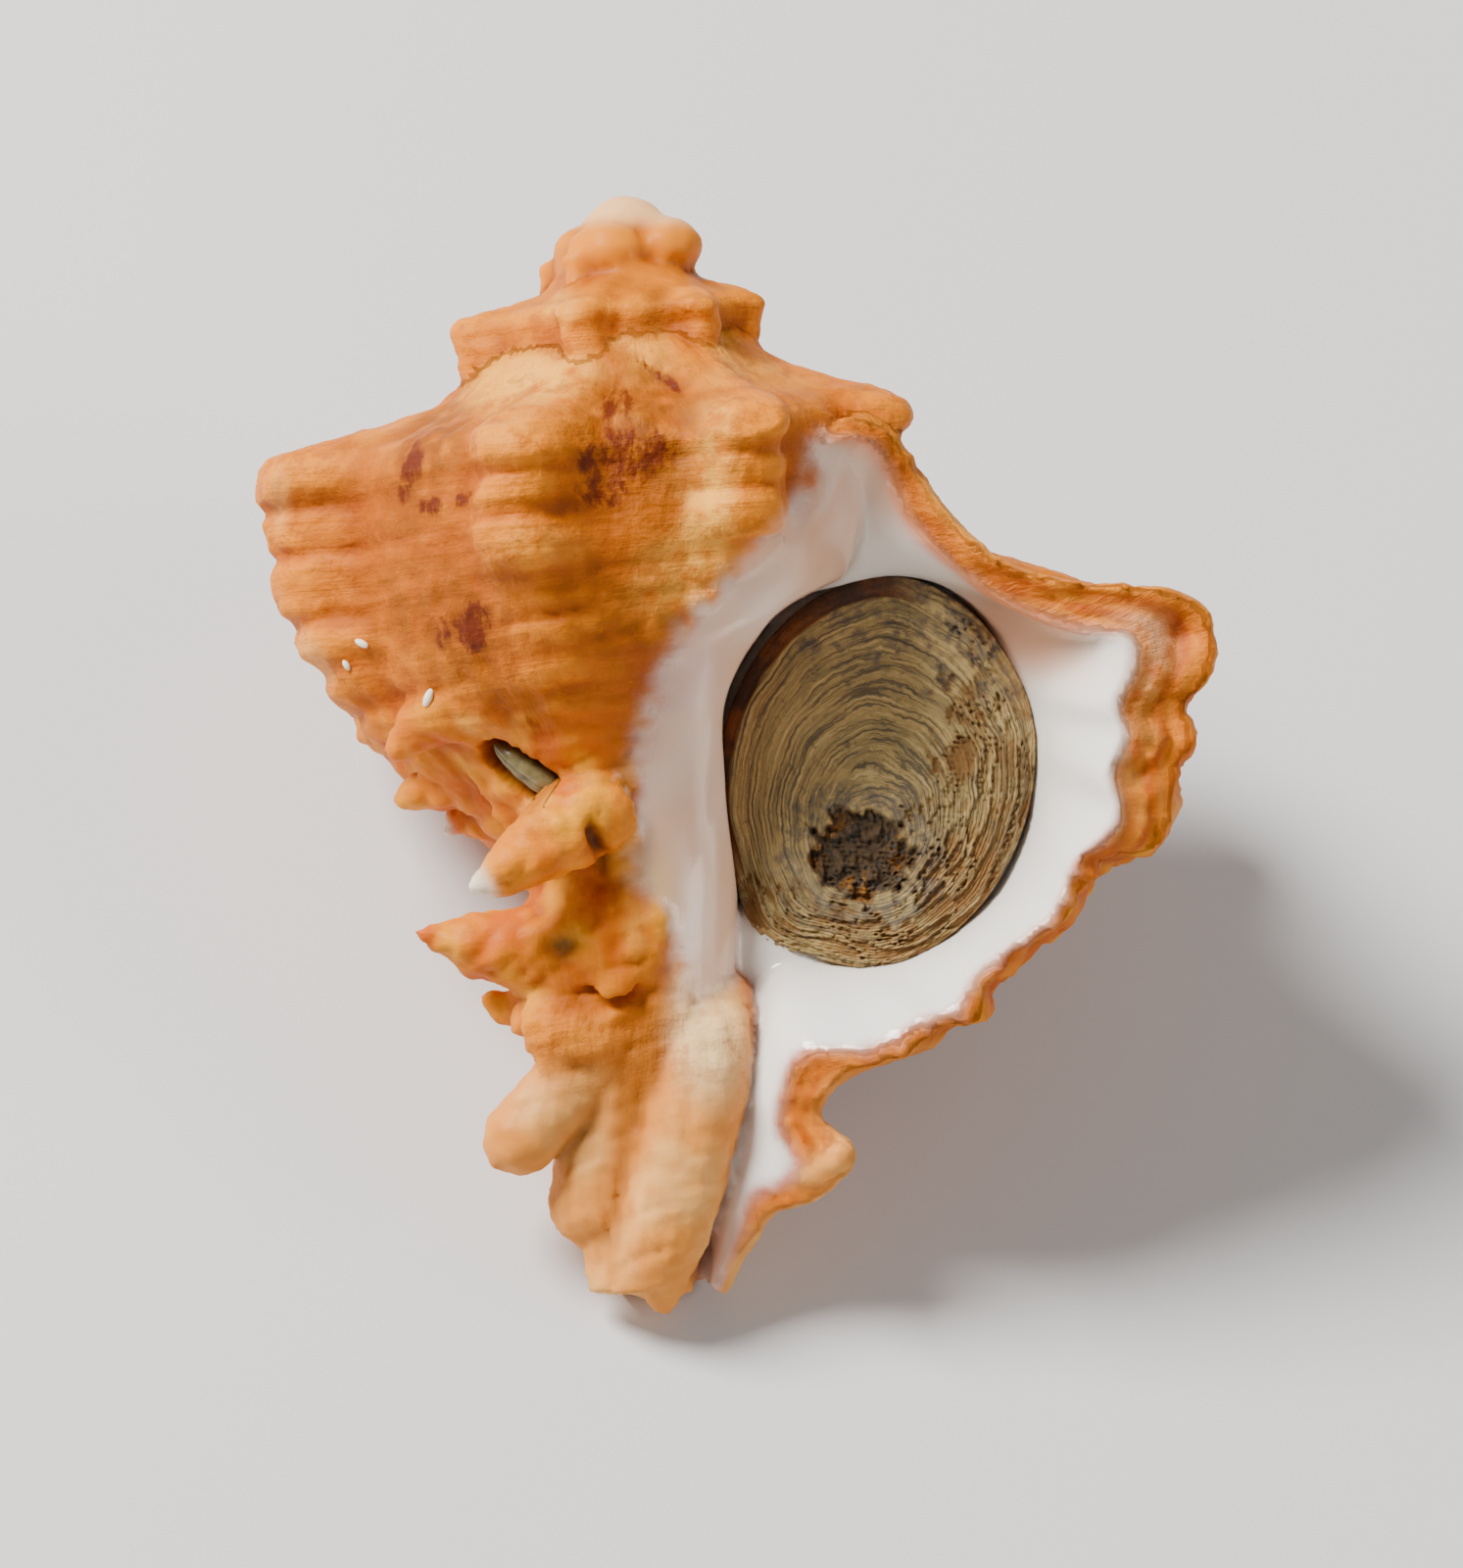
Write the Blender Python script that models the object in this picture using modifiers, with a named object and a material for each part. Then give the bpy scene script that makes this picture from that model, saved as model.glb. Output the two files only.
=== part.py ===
"""Murex shell with its operculum, lying on its back with the aperture up.

Metres, +Z up. The shell is worked out in millimetres in a frame of its own, where y runs from
the canal tip to the apex along the axis, x points to the lip and z points out of the aperture.
It is set down so that the origin is at the bottom centre of its box.
"""

import bmesh
import bpy
import numpy as np

# Driving dimensions, in millimetres
SHELL_LENGTH = 80.0
MOUTH_RADIUS = 35.0
NUCLEUS_RADIUS = 0.9
NUCLEUS_PLACE = (-1.2, 77.4, 0.0)
NUCLEUS_SIZE = (3.0, 2.75, 2.8)
CANAL_TIP = 1.8
NECK_TOP = 17.0
NECK_LENGTH = 15.0
GROWTH_PER_TURN = 2.2
SPIRE_SLOPE = 0.77
SHOULDER_SAG = 0.055
SPIRE_LEAN = 0.062
LEAN_FROM = 55.0
RIB_HEIGHT = 0.19
RIB_WIDTH = 0.027
OLDEST_TURN = -2.75
WALL_START = -0.68
SOLID_END = -0.56
WALL = 1.8
LIP_BLEND = 0.11
MM_PER_PIXEL = 0.07
AXIS_PIXEL = 660.0
TIP_PIXEL = 1345.0
PLATE_WIDTH = 21.4
PLATE_LENGTH = 27.0
PLATE_THICKNESS = 1.6
PLATE_TURN = 13.0
PLATE_TILT = 8.0
PLATE_PIXEL = (893, 787, -0.8)
PLATE_DOME = 0.9
PIT_DEPTH = 0.7
BORE_LENGTH = 6.0
BORE_WIDTH = 2.0
BORE_PIXEL = (540, 785, 7.4)
SLOT_OPENING = 4.0
GAP = 0.35
FLAT_REST = 0.3
REST_LEAN = 0.219
REST_PITCH = 0.704
VOXEL = 0.8
SHELL_TRIANGLES = 7900
METRES = 0.001

# Growth places of the ribs, in turns before the mouth, oldest last
RIBS = (
    -0.085, -0.19, -0.30, -0.405, -0.52, -0.685, -0.815, -0.96, -1.11, -1.25,
    -1.39, -1.53, -1.69, -1.84, -1.98, -2.13, -2.29, -2.45, -2.62,
)
# Side profile of a whorl: depth below the shoulder and reach, both over the shoulder radius
PROFILE_DEPTH = (
    -0.70, -0.42, -0.30, -0.25, -0.178, -0.12, -0.078, -0.035, 0.0, 0.05,
    0.20, 0.42, 0.60, 0.80, 0.95, 1.12, 1.40, 1.80, 2.6,
)
PROFILE_REACH = (
    0.05, 0.30, 0.42, 0.475, 0.55, 0.62, 0.68, 0.785, 0.87, 0.915,
    0.93, 0.915, 0.865, 0.77, 0.62, 0.49, 0.375, 0.31, 0.20,
)
# How the ribs fade on the ramp and towards the base
FADE_DEPTH = (-0.5, -0.30, -0.12, 0.0, 0.08, 0.2, 0.42, 0.6, 0.8, 1.0, 1.25, 2.0)
FADE = (0, 0.05, 0.45, 1.05, 1.15, 0.95, 0.9, 0.8, 0.6, 0.4, 0.1, 0)
GROOVE_DEPTHS = (0.16, 0.30, 0.50, 0.64, 0.76, 0.88)
GROOVE_WIDTH = 0.028
# Depth of the last whorl's outside at each share of the way from its suture to the neck
BAND_SHARE = (0.0, 0.10, 0.20, 0.30, 0.38, 0.42, 0.48, 0.54, 0.60)
BAND_DEPTH = (-0.42, -0.233, -0.12, -0.05, 0.0, 0.06, 0.22, 0.42, 0.60)
# How its reach falls from the flank to the neck, near the lip and behind
FULL_SHARE = (0, 0.17, 0.33, 0.43, 0.56, 0.74, 0.87, 1)
FULL_FALL = (1, 0.84, 0.72, 0.65, 0.58, 0.44, 0.26, 0)
SLIM_SHARE = (0, 0.17, 0.29, 0.43, 0.67, 1)
SLIM_FALL = (1, 0.80, 0.56, 0.34, 0.12, 0)
# Round columella inside the whorls: heights and radii
PILLAR_HEIGHT = (0, 2, 10, 18, 25, 46, 60, 78, 80)
PILLAR_RADIUS = (1, 1.5, 3, 5.5, 6.2, 6.2, 4, 1, 0.5)


def smooth_curve(t, knots, values):
    """Curve through values at knots: cubic Hermite pieces, slopes by central differences."""
    t = np.asarray(t, float)
    knots = np.asarray(knots, float)
    values = np.asarray(values, float)
    slopes = np.gradient(values, knots, axis=0)
    i = np.clip(np.searchsorted(knots, t) - 1, 0, len(knots) - 2)
    gap = knots[i + 1] - knots[i]
    s = np.clip((t - knots[i]) / gap, 0.0, 1.0)
    if values.ndim > 1:
        gap = gap[..., None]
        s = s[..., None]
    start = (1 + 2 * s) * (1 - s) ** 2 * values[i] + s * (1 - s) ** 2 * gap * slopes[i]
    end = s * s * (3 - 2 * s) * values[i + 1] + s * s * (s - 1) * gap * slopes[i + 1]
    return start + end


def smooth_step(t):
    """0 below 0, 1 above 1, eased between by 3t^2 - 2t^3."""
    t = np.clip(t, 0.0, 1.0)
    return t * t * (3 - 2 * t)


def whorl_radius(turn):
    """Shoulder radius: it grows by the same factor each turn."""
    return MOUTH_RADIUS * GROWTH_PER_TURN ** turn + NUCLEUS_RADIUS


def shoulder_height(turn):
    """Height of the shoulder: it sinks as the whorl widens, so the spire is a cone.

    It sags a little more where each whorl passes the lip's side.
    """
    sag = SHOULDER_SAG * (0.5 + 0.5 * np.cos(2 * np.pi * (turn + 0.04))) ** 3
    return SHELL_LENGTH - (SPIRE_SLOPE + sag) * whorl_radius(turn)


def rib_mask(turn):
    """1 on the crest of each rib, 0 between: a flat-topped bell about each growth place."""
    total = np.zeros_like(turn)
    for place in RIBS:
        total += np.exp(-np.abs((turn - place) / RIB_WIDTH) ** 3)
    return total


def relief(turn, depth):
    """Height of ribs and cords over the plain whorl, over its radius.

    Ribs are highest at the shoulder and fade on the ramp and towards the base. Grooves cross
    them and part them into knobs.
    """
    rib = rib_mask(turn)
    fade = smooth_curve(depth, FADE_DEPTH, FADE)
    groove = sum(np.exp(-((depth - place) / GROOVE_WIDTH) ** 2) for place in GROOVE_DEPTHS)
    side = smooth_step((depth + 0.1) / 0.1)
    knob = 0.05 * smooth_step((turn + 0.5) / 0.1) * np.exp(-((depth - 0.04) / 0.09) ** 2)
    return rib * (RIB_HEIGHT * fade + knob) - groove * side * (0.008 + 0.028 * rib)


def reach(turn, y):
    """Distance of a whorl's side from the axis, at its growth place and height."""
    radius = whorl_radius(turn)
    depth = (shoulder_height(turn) - y) / radius
    return radius * (smooth_curve(depth, PROFILE_DEPTH, PROFILE_REACH) + relief(turn, depth))


def core_radius(azimuth, y):
    """Outline of the solid core: the widest of the whorls that pass this azimuth and height."""
    radius = smooth_curve(y, PILLAR_HEIGHT, PILLAR_RADIUS)
    for back in range(4):
        turn = azimuth / (2 * np.pi) - 1 - back
        wide = reach(turn, y)
        used = (turn < SOLID_END) & (turn > OLDEST_TURN)
        radius = np.where(used, np.maximum(radius, wide), radius)
    return radius


def on_photo(points):
    """Pixel columns and rows with heights to millimetres in the shell's frame."""
    points = np.asarray(points, float)
    x = (points[..., 0] - AXIS_PIXEL) * MM_PER_PIXEL
    y = (TIP_PIXEL - points[..., 1]) * MM_PER_PIXEL
    return np.stack([x, y, points[..., 2]], axis=-1)


def grid_mesh(rows, closed, start_cap, end_cap):
    """Vertices and faces of a grid of points, closed along its rows, with a fan at each end."""
    count, width = rows.shape[:2]
    verts = [rows.reshape(-1, 3)]
    index = np.arange(count * width).reshape(count, width)
    nxt = np.roll(index, -1, axis=1) if closed else index[:, 1:]
    cur = index if closed else index[:, :-1]
    quads = np.stack([cur[:-1], nxt[:-1], nxt[1:], cur[1:]], axis=-1).reshape(-1, 4)
    faces = [tuple(q) for q in quads.tolist()]
    total = count * width
    for wanted, row, flip in ((start_cap, 0, True), (end_cap, count - 1, False)):
        if wanted is None:
            continue
        verts.append(np.asarray(wanted, float).reshape(1, 3))
        for a, b in zip(cur[row].tolist(), nxt[row].tolist()):
            faces.append((b, a, total) if flip else (a, b, total))
        total += 1
    return np.concatenate(verts), faces


def lean(y):
    """How far the spire leans to the left at a height."""
    return SPIRE_LEAN * np.maximum(0.0, y - LEAN_FROM)


def core(columns, rows):
    """Spire, front of the last whorl and columella: a radius for each azimuth and height."""
    azimuth = np.linspace(0, 2 * np.pi, columns, endpoint=False)
    along = 0.5 - 0.5 * np.cos(np.pi * np.linspace(0.03, 0.99, rows))
    y = CANAL_TIP + (SHELL_LENGTH - CANAL_TIP) * along
    az, yy = np.meshgrid(azimuth, y)
    r = core_radius(az, yy)
    points = np.stack([r * np.cos(az) - lean(yy), yy, r * np.sin(az)], axis=-1)
    return grid_mesh(points[:, ::-1], True, (0, y[0] - 0.4, 0), (-lean(y[-1]), y[-1] + 0.2, 0))


def ellipsoid(centre, half_axes, segments, rings):
    """Vertices and faces of a ball stretched along three half axes, given as rows."""
    ball = bmesh.new()
    bmesh.ops.create_uvsphere(ball, u_segments=segments, v_segments=rings, radius=1.0)
    ball.verts.index_update()
    verts = np.array([vert.co[:] for vert in ball.verts])
    faces = [tuple(vert.index for vert in face.verts) for face in ball.faces]
    ball.free()
    return centre + verts @ np.asarray(half_axes), faces


def nucleus():
    """Worn first whorls: a blunt dome at the apex, a little left of the axis."""
    return ellipsoid(np.array(NUCLEUS_PLACE), np.diag(NUCLEUS_SIZE), 32, 20)


# Lip edge, inner rim and throat: share of the way round, pixel column and row, height in mm
LIP_EDGE = (
    (0.00, 862, 425, 9.5), (0.04, 903, 440, 8), (0.09, 930, 480, 7), (0.15, 965, 530, 8),
    (0.21, 1010, 570, 8.5), (0.26, 1060, 590, 9), (0.30, 1105, 597, 9), (0.34, 1150, 600, 8.5),
    (0.375, 1192, 603, 8), (0.40, 1224, 622, 7.5), (0.42, 1236, 652, 7.5), (0.445, 1226, 698, 7),
    (0.46, 1205, 720, 6.5), (0.48, 1216, 752, 7), (0.505, 1195, 790, 6.5), (0.535, 1191, 840, 6.5),
    (0.555, 1170, 870, 6.5), (0.57, 1138, 872, 6.5), (0.60, 1100, 905, 7), (0.625, 1084, 938, 7.5),
    (0.65, 1050, 960, 7.5), (0.675, 1021, 990, 7.5), (0.695, 997, 1010, 7.5), (0.71, 1000, 1036, 7.5),
    (0.73, 958, 1045, 7.5), (0.755, 930, 1070, 7.5), (0.775, 900, 1081, 7.5), (0.80, 862, 1094, 7),
    (0.825, 843, 1112, 6), (0.85, 833, 1138, 5), (0.875, 866, 1168, 5.5), (0.89, 868, 1186, 5.5),
    (0.91, 838, 1220, 4), (0.935, 782, 1240, 3.5), (0.955, 768, 1262, 3), (0.975, 744, 1292, 2.5),
    (1.00, 738, 1322, 2),
)
INNER_RIM = (
    (0.00, 820, 455, 11.5), (0.04, 868, 448, 11), (0.09, 900, 470, 8.5), (0.12, 911, 500, 7.5),
    (0.15, 926, 530, 7), (0.19, 950, 560, 7), (0.23, 985, 590, 7), (0.27, 1010, 610, 7),
    (0.31, 1040, 625, 7.5), (0.34, 1075, 640, 8), (0.37, 1110, 650, 8.5), (0.40, 1144, 656, 9),
    (0.425, 1146, 682, 9), (0.45, 1130, 720, 9), (0.475, 1140, 750, 9), (0.50, 1125, 790, 9),
    (0.53, 1135, 830, 9), (0.555, 1115, 860, 9), (0.57, 1100, 872, 8.5), (0.595, 1090, 895, 8),
    (0.62, 1075, 930, 8), (0.65, 1045, 955, 8), (0.68, 1005, 985, 8), (0.70, 986, 1008, 8),
    (0.715, 975, 1028, 8), (0.74, 940, 1040, 8), (0.765, 905, 1060, 7.5), (0.78, 880, 1070, 7.5),
    (0.795, 850, 1069, 7), (0.81, 822, 1070, 6.5), (0.825, 805, 1085, 6), (0.84, 797, 1110, 5.5),
    (0.86, 790, 1140, 5), (0.88, 796, 1165, 4.5), (0.895, 811, 1186, 4.5), (0.91, 798, 1206, 4),
    (0.925, 770, 1216, 3.5), (0.945, 760, 1240, 3.2), (0.975, 745, 1280, 2.8), (1.00, 735, 1312, 2),
)
THROAT = (
    (0.00, 790, 606, 0), (0.06, 840, 602, 0), (0.12, 880, 592, 0.5), (0.20, 920, 588, 0.5),
    (0.28, 965, 600, 0), (0.35, 1000, 630, 0), (0.42, 1030, 680, 0), (0.48, 1050, 740, 0),
    (0.52, 1053, 790, 0), (0.57, 1045, 850, 0), (0.61, 1020, 905, 0), (0.65, 985, 940, 0),
    (0.69, 940, 968, 0), (0.73, 890, 982, 0), (0.77, 840, 985, 0), (0.80, 800, 985, 0),
    (0.82, 785, 1000, 0), (0.84, 775, 1040, -0.3), (0.87, 763, 1090, -0.5), (0.90, 755, 1140, -0.5),
    (0.93, 748, 1200, -0.5), (0.96, 738, 1250, -0.3), (1.00, 726, 1312, 0),
)


def band_outside(turn, share, ribbed=True):
    """Reach and height of the last whorl's outside, from its suture round to the neck's end."""
    radius = whorl_radius(turn)
    top = shoulder_height(turn)
    base = (top - NECK_TOP) / radius
    depth = smooth_curve(np.minimum(share, 0.60), BAND_SHARE, BAND_DEPTH)
    down = np.clip((share - 0.60) / 0.22, 0, 1)
    depth = depth + (base - 0.60) * down
    upper = smooth_curve(np.minimum(depth, 0.60), PROFILE_DEPTH, PROFILE_REACH)
    full = smooth_curve(down, FULL_SHARE, FULL_FALL)
    slim = smooth_curve(down, SLIM_SHARE, SLIM_FALL)
    fall = slim + (full - slim) * smooth_step((turn + 0.45) / 0.35)
    neck_share = np.clip((share - 0.82) / 0.18, 0, 1)
    neck = neck_radius(turn, NECK_TOP - NECK_LENGTH * neck_share)
    reach_mm = neck + (0.865 * radius - neck) * fall
    reach_mm = np.where(share > 0.60, reach_mm, radius * upper)
    y = np.where(share > 0.82, NECK_TOP - NECK_LENGTH * neck_share, top - radius * depth)
    if not ribbed:
        return reach_mm, y
    return reach_mm + radius * relief(turn, depth) * (share < 0.82), y


def neck_radius(turn, y):
    """Distance from the axis to the neck's outline: a circle set off towards the canal."""
    azimuth = 2 * np.pi * turn
    offset = smooth_curve(y, (2, 5, 10, 17), (3.2, 3.2, 3.9, 4.4))
    radius = smooth_curve(y, (2, 5, 10, 17), (2.6, 4.2, 6.0, 7.6))
    across = np.sqrt(np.maximum(radius ** 2 - (offset * np.sin(azimuth)) ** 2, 0.3))
    return np.maximum(offset * np.cos(azimuth) + across, 0.8)


def band_inside(turn, share):
    """Inside of the last whorl: the plain outside drawn in to the section's middle by the wall."""
    radius = whorl_radius(turn)
    r, y = band_outside(turn, share, ribbed=False)
    middle_r = 0.50 * radius
    middle_y = shoulder_height(turn) - 0.36 * radius
    gap = np.hypot(r - middle_r, y - middle_y)
    pull = np.clip((0.035 * radius + WALL) / gap, 0, 0.8)
    r = r + (middle_r - r) * pull
    y = y + (middle_y - y) * pull
    buried = smooth_step((share - 0.74) / 0.12)
    r = r + (0.08 * radius - r) * buried
    y = y + (shoulder_height(turn) - 0.95 * radius - y) * buried
    return r, y


def band(columns, outer_rows):
    """Wall of the last whorl, from the solid core to the lip, as one folded sheet.

    Rows run out along the outside to the lip edge, over the rim face and back along the inside.
    """
    share = np.linspace(0, 1, columns)
    edge = on_photo(smooth_curve(share, [p[0] for p in LIP_EDGE], [p[1:] for p in LIP_EDGE]))
    rim = on_photo(smooth_curve(share, [p[0] for p in INNER_RIM], [p[1:] for p in INNER_RIM]))
    throat = on_photo(smooth_curve(share, [p[0] for p in THROAT], [p[1:] for p in THROAT]))

    def polar(points):
        r = np.hypot(points[:, 0], points[:, 2])
        return np.arctan2(points[:, 2], points[:, 0]) / (2 * np.pi), r, points[:, 1]

    def placed(turn, r, y):
        angle = 2 * np.pi * turn
        return np.stack([r * np.cos(angle), y, r * np.sin(angle)], axis=-1)

    edge_turn, edge_r, edge_y = polar(edge)
    throat_turn, throat_r, throat_y = polar(throat)
    outer = []
    for t in np.linspace(0, 1, outer_rows):
        turn = WALL_START + t * (edge_turn - WALL_START)
        r, y = band_outside(turn, share)
        start = smooth_step((turn - WALL_START) / 0.08)
        r = r * (0.88 + 0.12 * start)
        near = smooth_step(1 + (turn - edge_turn) / LIP_BLEND)
        row = placed(turn, r + near * (edge_r - r), y + near * (edge_y - y))
        row[:, 0] -= lean(row[:, 1]) * (1 - near)
        outer.append(row)
    face = 0.5 * (edge + rim)
    inner = [rim]
    inner_rows = outer_rows - 1
    steps = 10
    for t in np.linspace(0, 1, steps + 1)[1:]:
        bulge = np.sin(np.pi * t) * 0.6
        row = rim + (throat - rim) * smooth_step(t) * 0.35 + (throat - rim) * t * 0.65
        row[:, 2] += bulge
        inner.append(row)
    for t in np.linspace(0, 1, inner_rows - steps + 1)[1:]:
        turn = throat_turn + t * (WALL_START + 0.02 - throat_turn)
        r, y = band_inside(turn, share)
        far = smooth_step((throat_turn - turn) / (0.12 - 0.10 * smooth_step((share - 0.78) / 0.06)))
        inner.append(placed(turn, throat_r + far * (r - throat_r), throat_y + far * (y - throat_y)))
    rows = np.stack(outer + [face] + inner)
    verts, faces = grid_mesh(rows, False, None, None)
    count, width = rows.shape[:2]
    index = np.arange(count * width).reshape(count, width)
    for column, flip in ((0, False), (width - 1, True)):
        for i in range((count - 1) // 2):
            a, b, c, d = (int(index[k, column]) for k in (i, i + 1, count - 2 - i, count - 1 - i))
            quad = (a, b, c, d) if b != c else (a, b, d)
            faces.append(quad[::-1] if flip else quad)
    for j in range(width - 1):
        a, b, c, d = (int(n) for n in (index[0, j], index[0, j + 1], index[-1, j + 1], index[-1, j]))
        faces.append((b, a, d, c))
    return verts, faces


def horn(points, radii, sides=16, flat=1.0):
    """Closed tube along a smooth curve through points, its radius following radii.

    Each ring lies across the curve, flattened to the given share out of the photo's plane.
    """
    points = on_photo(points)
    count = 4 * len(points)
    knots = np.linspace(0, 1, len(points))
    t = np.linspace(0, 1, count)
    path = smooth_curve(t, knots, points)
    radius = smooth_curve(t, knots, radii)
    along = np.gradient(path, axis=0)
    along /= np.linalg.norm(along, axis=1)[:, None]
    across = np.cross(along, (0.0, 0.0, 1.0))
    across /= np.linalg.norm(across, axis=1)[:, None]
    up = np.cross(across, along)
    angle = np.linspace(0, 2 * np.pi, sides, endpoint=False)[None, :, None]
    ring = np.cos(angle) * across[:, None] + flat * np.sin(angle) * up[:, None]
    rows = path[:, None] + radius[:, None, None] * ring
    tip = path[-1] + along[-1] * radius[-1] * 0.8
    root = path[0] - along[0] * radius[0] * 0.3
    return grid_mesh(rows, True, root, tip)


# Spines and lobes of the base, each as pixel column, row and height of its path, with its radii
SPINES = {
    "shoulder_claw": (((500, 700, 8), (440, 735, 7), (400, 772, 6)), (3.5, 2.2, 0.7)),
    "brown_knob": (((500, 780, 0), (440, 805, -1), (410, 815, -2)), (3.0, 1.6, 0.9)),
    "white_tip": (((520, 830, -2), (475, 838, -3), (454, 845, -3)), (2.5, 1.2, 0.5)),
    "front_spine": (((620, 820, 7), (545, 868, 11), (485, 905, 12)), (3.4, 2.4, 0.7)),
    "claw": (((580, 975, 3), (495, 962, 4), (430, 952, 5.5)), (3.6, 2.4, 0.5)),
    "low_knob": (((580, 1020, 1), (525, 1028, 0), (500, 1020, 0)), (3.0, 1.5, 0.9)),
    "scale": (((600, 930, 8), (640, 975, 8), (655, 1000, 7)), (3.0, 3.0, 1.6)),
    "layered_scale": (((600, 1020, 4), (580, 1060, 4), (575, 1090, 4)), (3.4, 2.8, 1.6)),
    "tube": (((640, 1055, 1), (580, 1108, 3), (522, 1172, 4)), (3.4, 2.8, 2.5)),
    "lobe": (((650, 1080, 0), (618, 1170, 1), (602, 1248, 1)), (3.4, 3.4, 2.7)),
    "columella_shield": (
        (
            (725, 960, 1), (726, 1040, 3.0), (706, 1130, 3.6),
            (686, 1220, 3.2), (673, 1290, 2.5), (680, 1340, 2),
        ),
        (3.0, 3.4, 3.6, 3.4, 2.6, 0.4),
    ),
    "rim_spine": (((800, 1205, 1), (840, 1188, 3.5), (864, 1176, 5)), (2.2, 1.6, 1.0)),
}


def plate(margin):
    """Operculum: an oval plate, domed, pitted at its nucleus and tilted in the throat.

    Rings of an ellipse run from the middle of the back round the rounded edge to the middle of
    the front. A margin makes it larger all round.
    """
    angle = np.linspace(0, 2 * np.pi, 40, endpoint=False)[None, :]
    t = np.linspace(-1, 1, 13)[1:-1, None]
    share = np.cos(0.5 * np.pi * t) ** 0.4
    height = np.sign(t) * np.sin(0.5 * np.pi * np.abs(t)) ** 1.5
    wide = (PLATE_WIDTH / 2 + margin) * share * np.cos(angle)
    long = (PLATE_LENGTH / 2 + margin) * share * np.sin(angle)
    thick = (PLATE_THICKNESS / 2 + margin) * height + 0 * angle
    dome = PLATE_DOME * (1 - (share * np.cos(angle)) ** 2)
    from_nucleus = (wide / 3.6) ** 2 + ((long + 0.28 * PLATE_LENGTH) / 3.2) ** 2
    pit = PIT_DEPTH * np.exp(-from_nucleus) * (t > 0)
    turned = np.radians(PLATE_TURN)
    x = wide * np.cos(turned) + long * np.sin(turned)
    y = long * np.cos(turned) - wide * np.sin(turned)
    z = thick + dome - pit + wide * np.tan(np.radians(PLATE_TILT))
    rows = np.stack([x, y, z], axis=-1) + on_photo(PLATE_PIXEL)
    return grid_mesh(rows, True, rows[0].mean(axis=0), rows[-1].mean(axis=0))


def bean(margin, opening):
    """Boring mussel in its slot: an ellipsoid along the slot, or the slot, open outwards."""
    along = np.array([0.80, -0.60, 0.0])
    out = np.array([-0.55, -0.35, 0.76])
    out = out - along * out.dot(along)
    out /= np.linalg.norm(out)
    half_width = BORE_WIDTH / 2 + margin
    half_axes = (np.cross(out, along) * half_width, out * half_width, along * (BORE_LENGTH / 2 + margin))
    centre = on_photo(BORE_PIXEL)
    verts, faces = ellipsoid(centre, half_axes, 14, 10)
    height = (verts - centre) @ out
    verts += np.maximum(height, 0.0)[:, None] * (opening - 1) * out
    return verts, faces


def rest_axes():
    """World X, Y and Z in the shell's frame: Z is up when it lies on its back knobs and canal."""
    up = np.array([REST_LEAN, REST_PITCH, 1.0])
    up /= np.linalg.norm(up)
    north = np.array([0.0, 1.0, 0.0]) - up[1] * up
    north /= np.linalg.norm(north)
    return np.stack([np.cross(north, up), north, up])


def to_mesh(name, parts):
    """One Blender mesh from several closed bodies of vertices and faces, in millimetres."""
    verts = []
    faces = []
    for points, polygons in parts:
        start = sum(len(v) for v in verts)
        verts.append(points)
        faces.extend(tuple(start + n for n in polygon) for polygon in polygons)
    mesh = bpy.data.meshes.new(name)
    mesh.from_pydata(np.concatenate(verts).tolist(), [], faces)
    mesh.update()
    return mesh


def fused(name, parts, voxel, triangles):
    """Fuse closed bodies in one skin, smooth it and thin it to a count of triangles."""
    source = bpy.data.objects.new(name, to_mesh(name, parts))
    bpy.context.scene.collection.objects.link(source)
    remesh = source.modifiers.new("fuse", "REMESH")
    remesh.mode = "VOXEL"
    remesh.voxel_size = voxel
    soften = source.modifiers.new("soften", "SMOOTH")
    soften.factor = 0.5
    soften.iterations = 2
    split = source.modifiers.new("split", "TRIANGULATE")
    split.quad_method = "BEAUTY"
    graph = bpy.context.evaluated_depsgraph_get()
    full = source.evaluated_get(graph).to_mesh()
    full.calc_loop_triangles()
    ratio = min(1.0, triangles / max(1, len(full.loop_triangles)))
    source.evaluated_get(graph).to_mesh_clear()
    thin = source.modifiers.new("thin", "DECIMATE")
    thin.ratio = ratio
    graph = bpy.context.evaluated_depsgraph_get()
    mesh = bpy.data.meshes.new_from_object(source.evaluated_get(graph), depsgraph=graph)
    bpy.data.objects.remove(source)
    mesh.name = name
    return mesh


def floor_block(half_width, depth):
    """Mesh of a block, in metres, whose top face lies on the ground."""
    block = bmesh.new()
    bmesh.ops.create_cube(block, size=1.0)
    bmesh.ops.scale(block, vec=(2 * half_width, 2 * half_width, depth), verts=block.verts)
    bmesh.ops.translate(block, vec=(0.0, 0.0, -depth / 2), verts=block.verts)
    mesh = bpy.data.meshes.new("floor_cut")
    block.to_mesh(mesh)
    block.free()
    return mesh


def move_mesh(mesh, origin):
    """Shift a mesh from the shell's frame in millimetres to the world in metres."""
    points = np.empty(len(mesh.vertices) * 3)
    mesh.vertices.foreach_get("co", points)
    place_mesh(mesh, points.reshape(-1, 3) @ rest_axes().T, origin)


def place_mesh(mesh, points, origin):
    """Write points, taken from the origin, to a mesh in metres."""
    mesh.vertices.foreach_set("co", ((points - origin) * METRES).ravel())
    mesh.update()


def plain_material(name, colour, roughness):
    """Principled material of one colour."""
    material = bpy.data.materials.new(name)
    material.use_nodes = True
    shader = material.node_tree.nodes["Principled BSDF"]
    shader.inputs["Base Color"].default_value = (*colour, 1.0)
    shader.inputs["Roughness"].default_value = roughness
    return material


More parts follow.
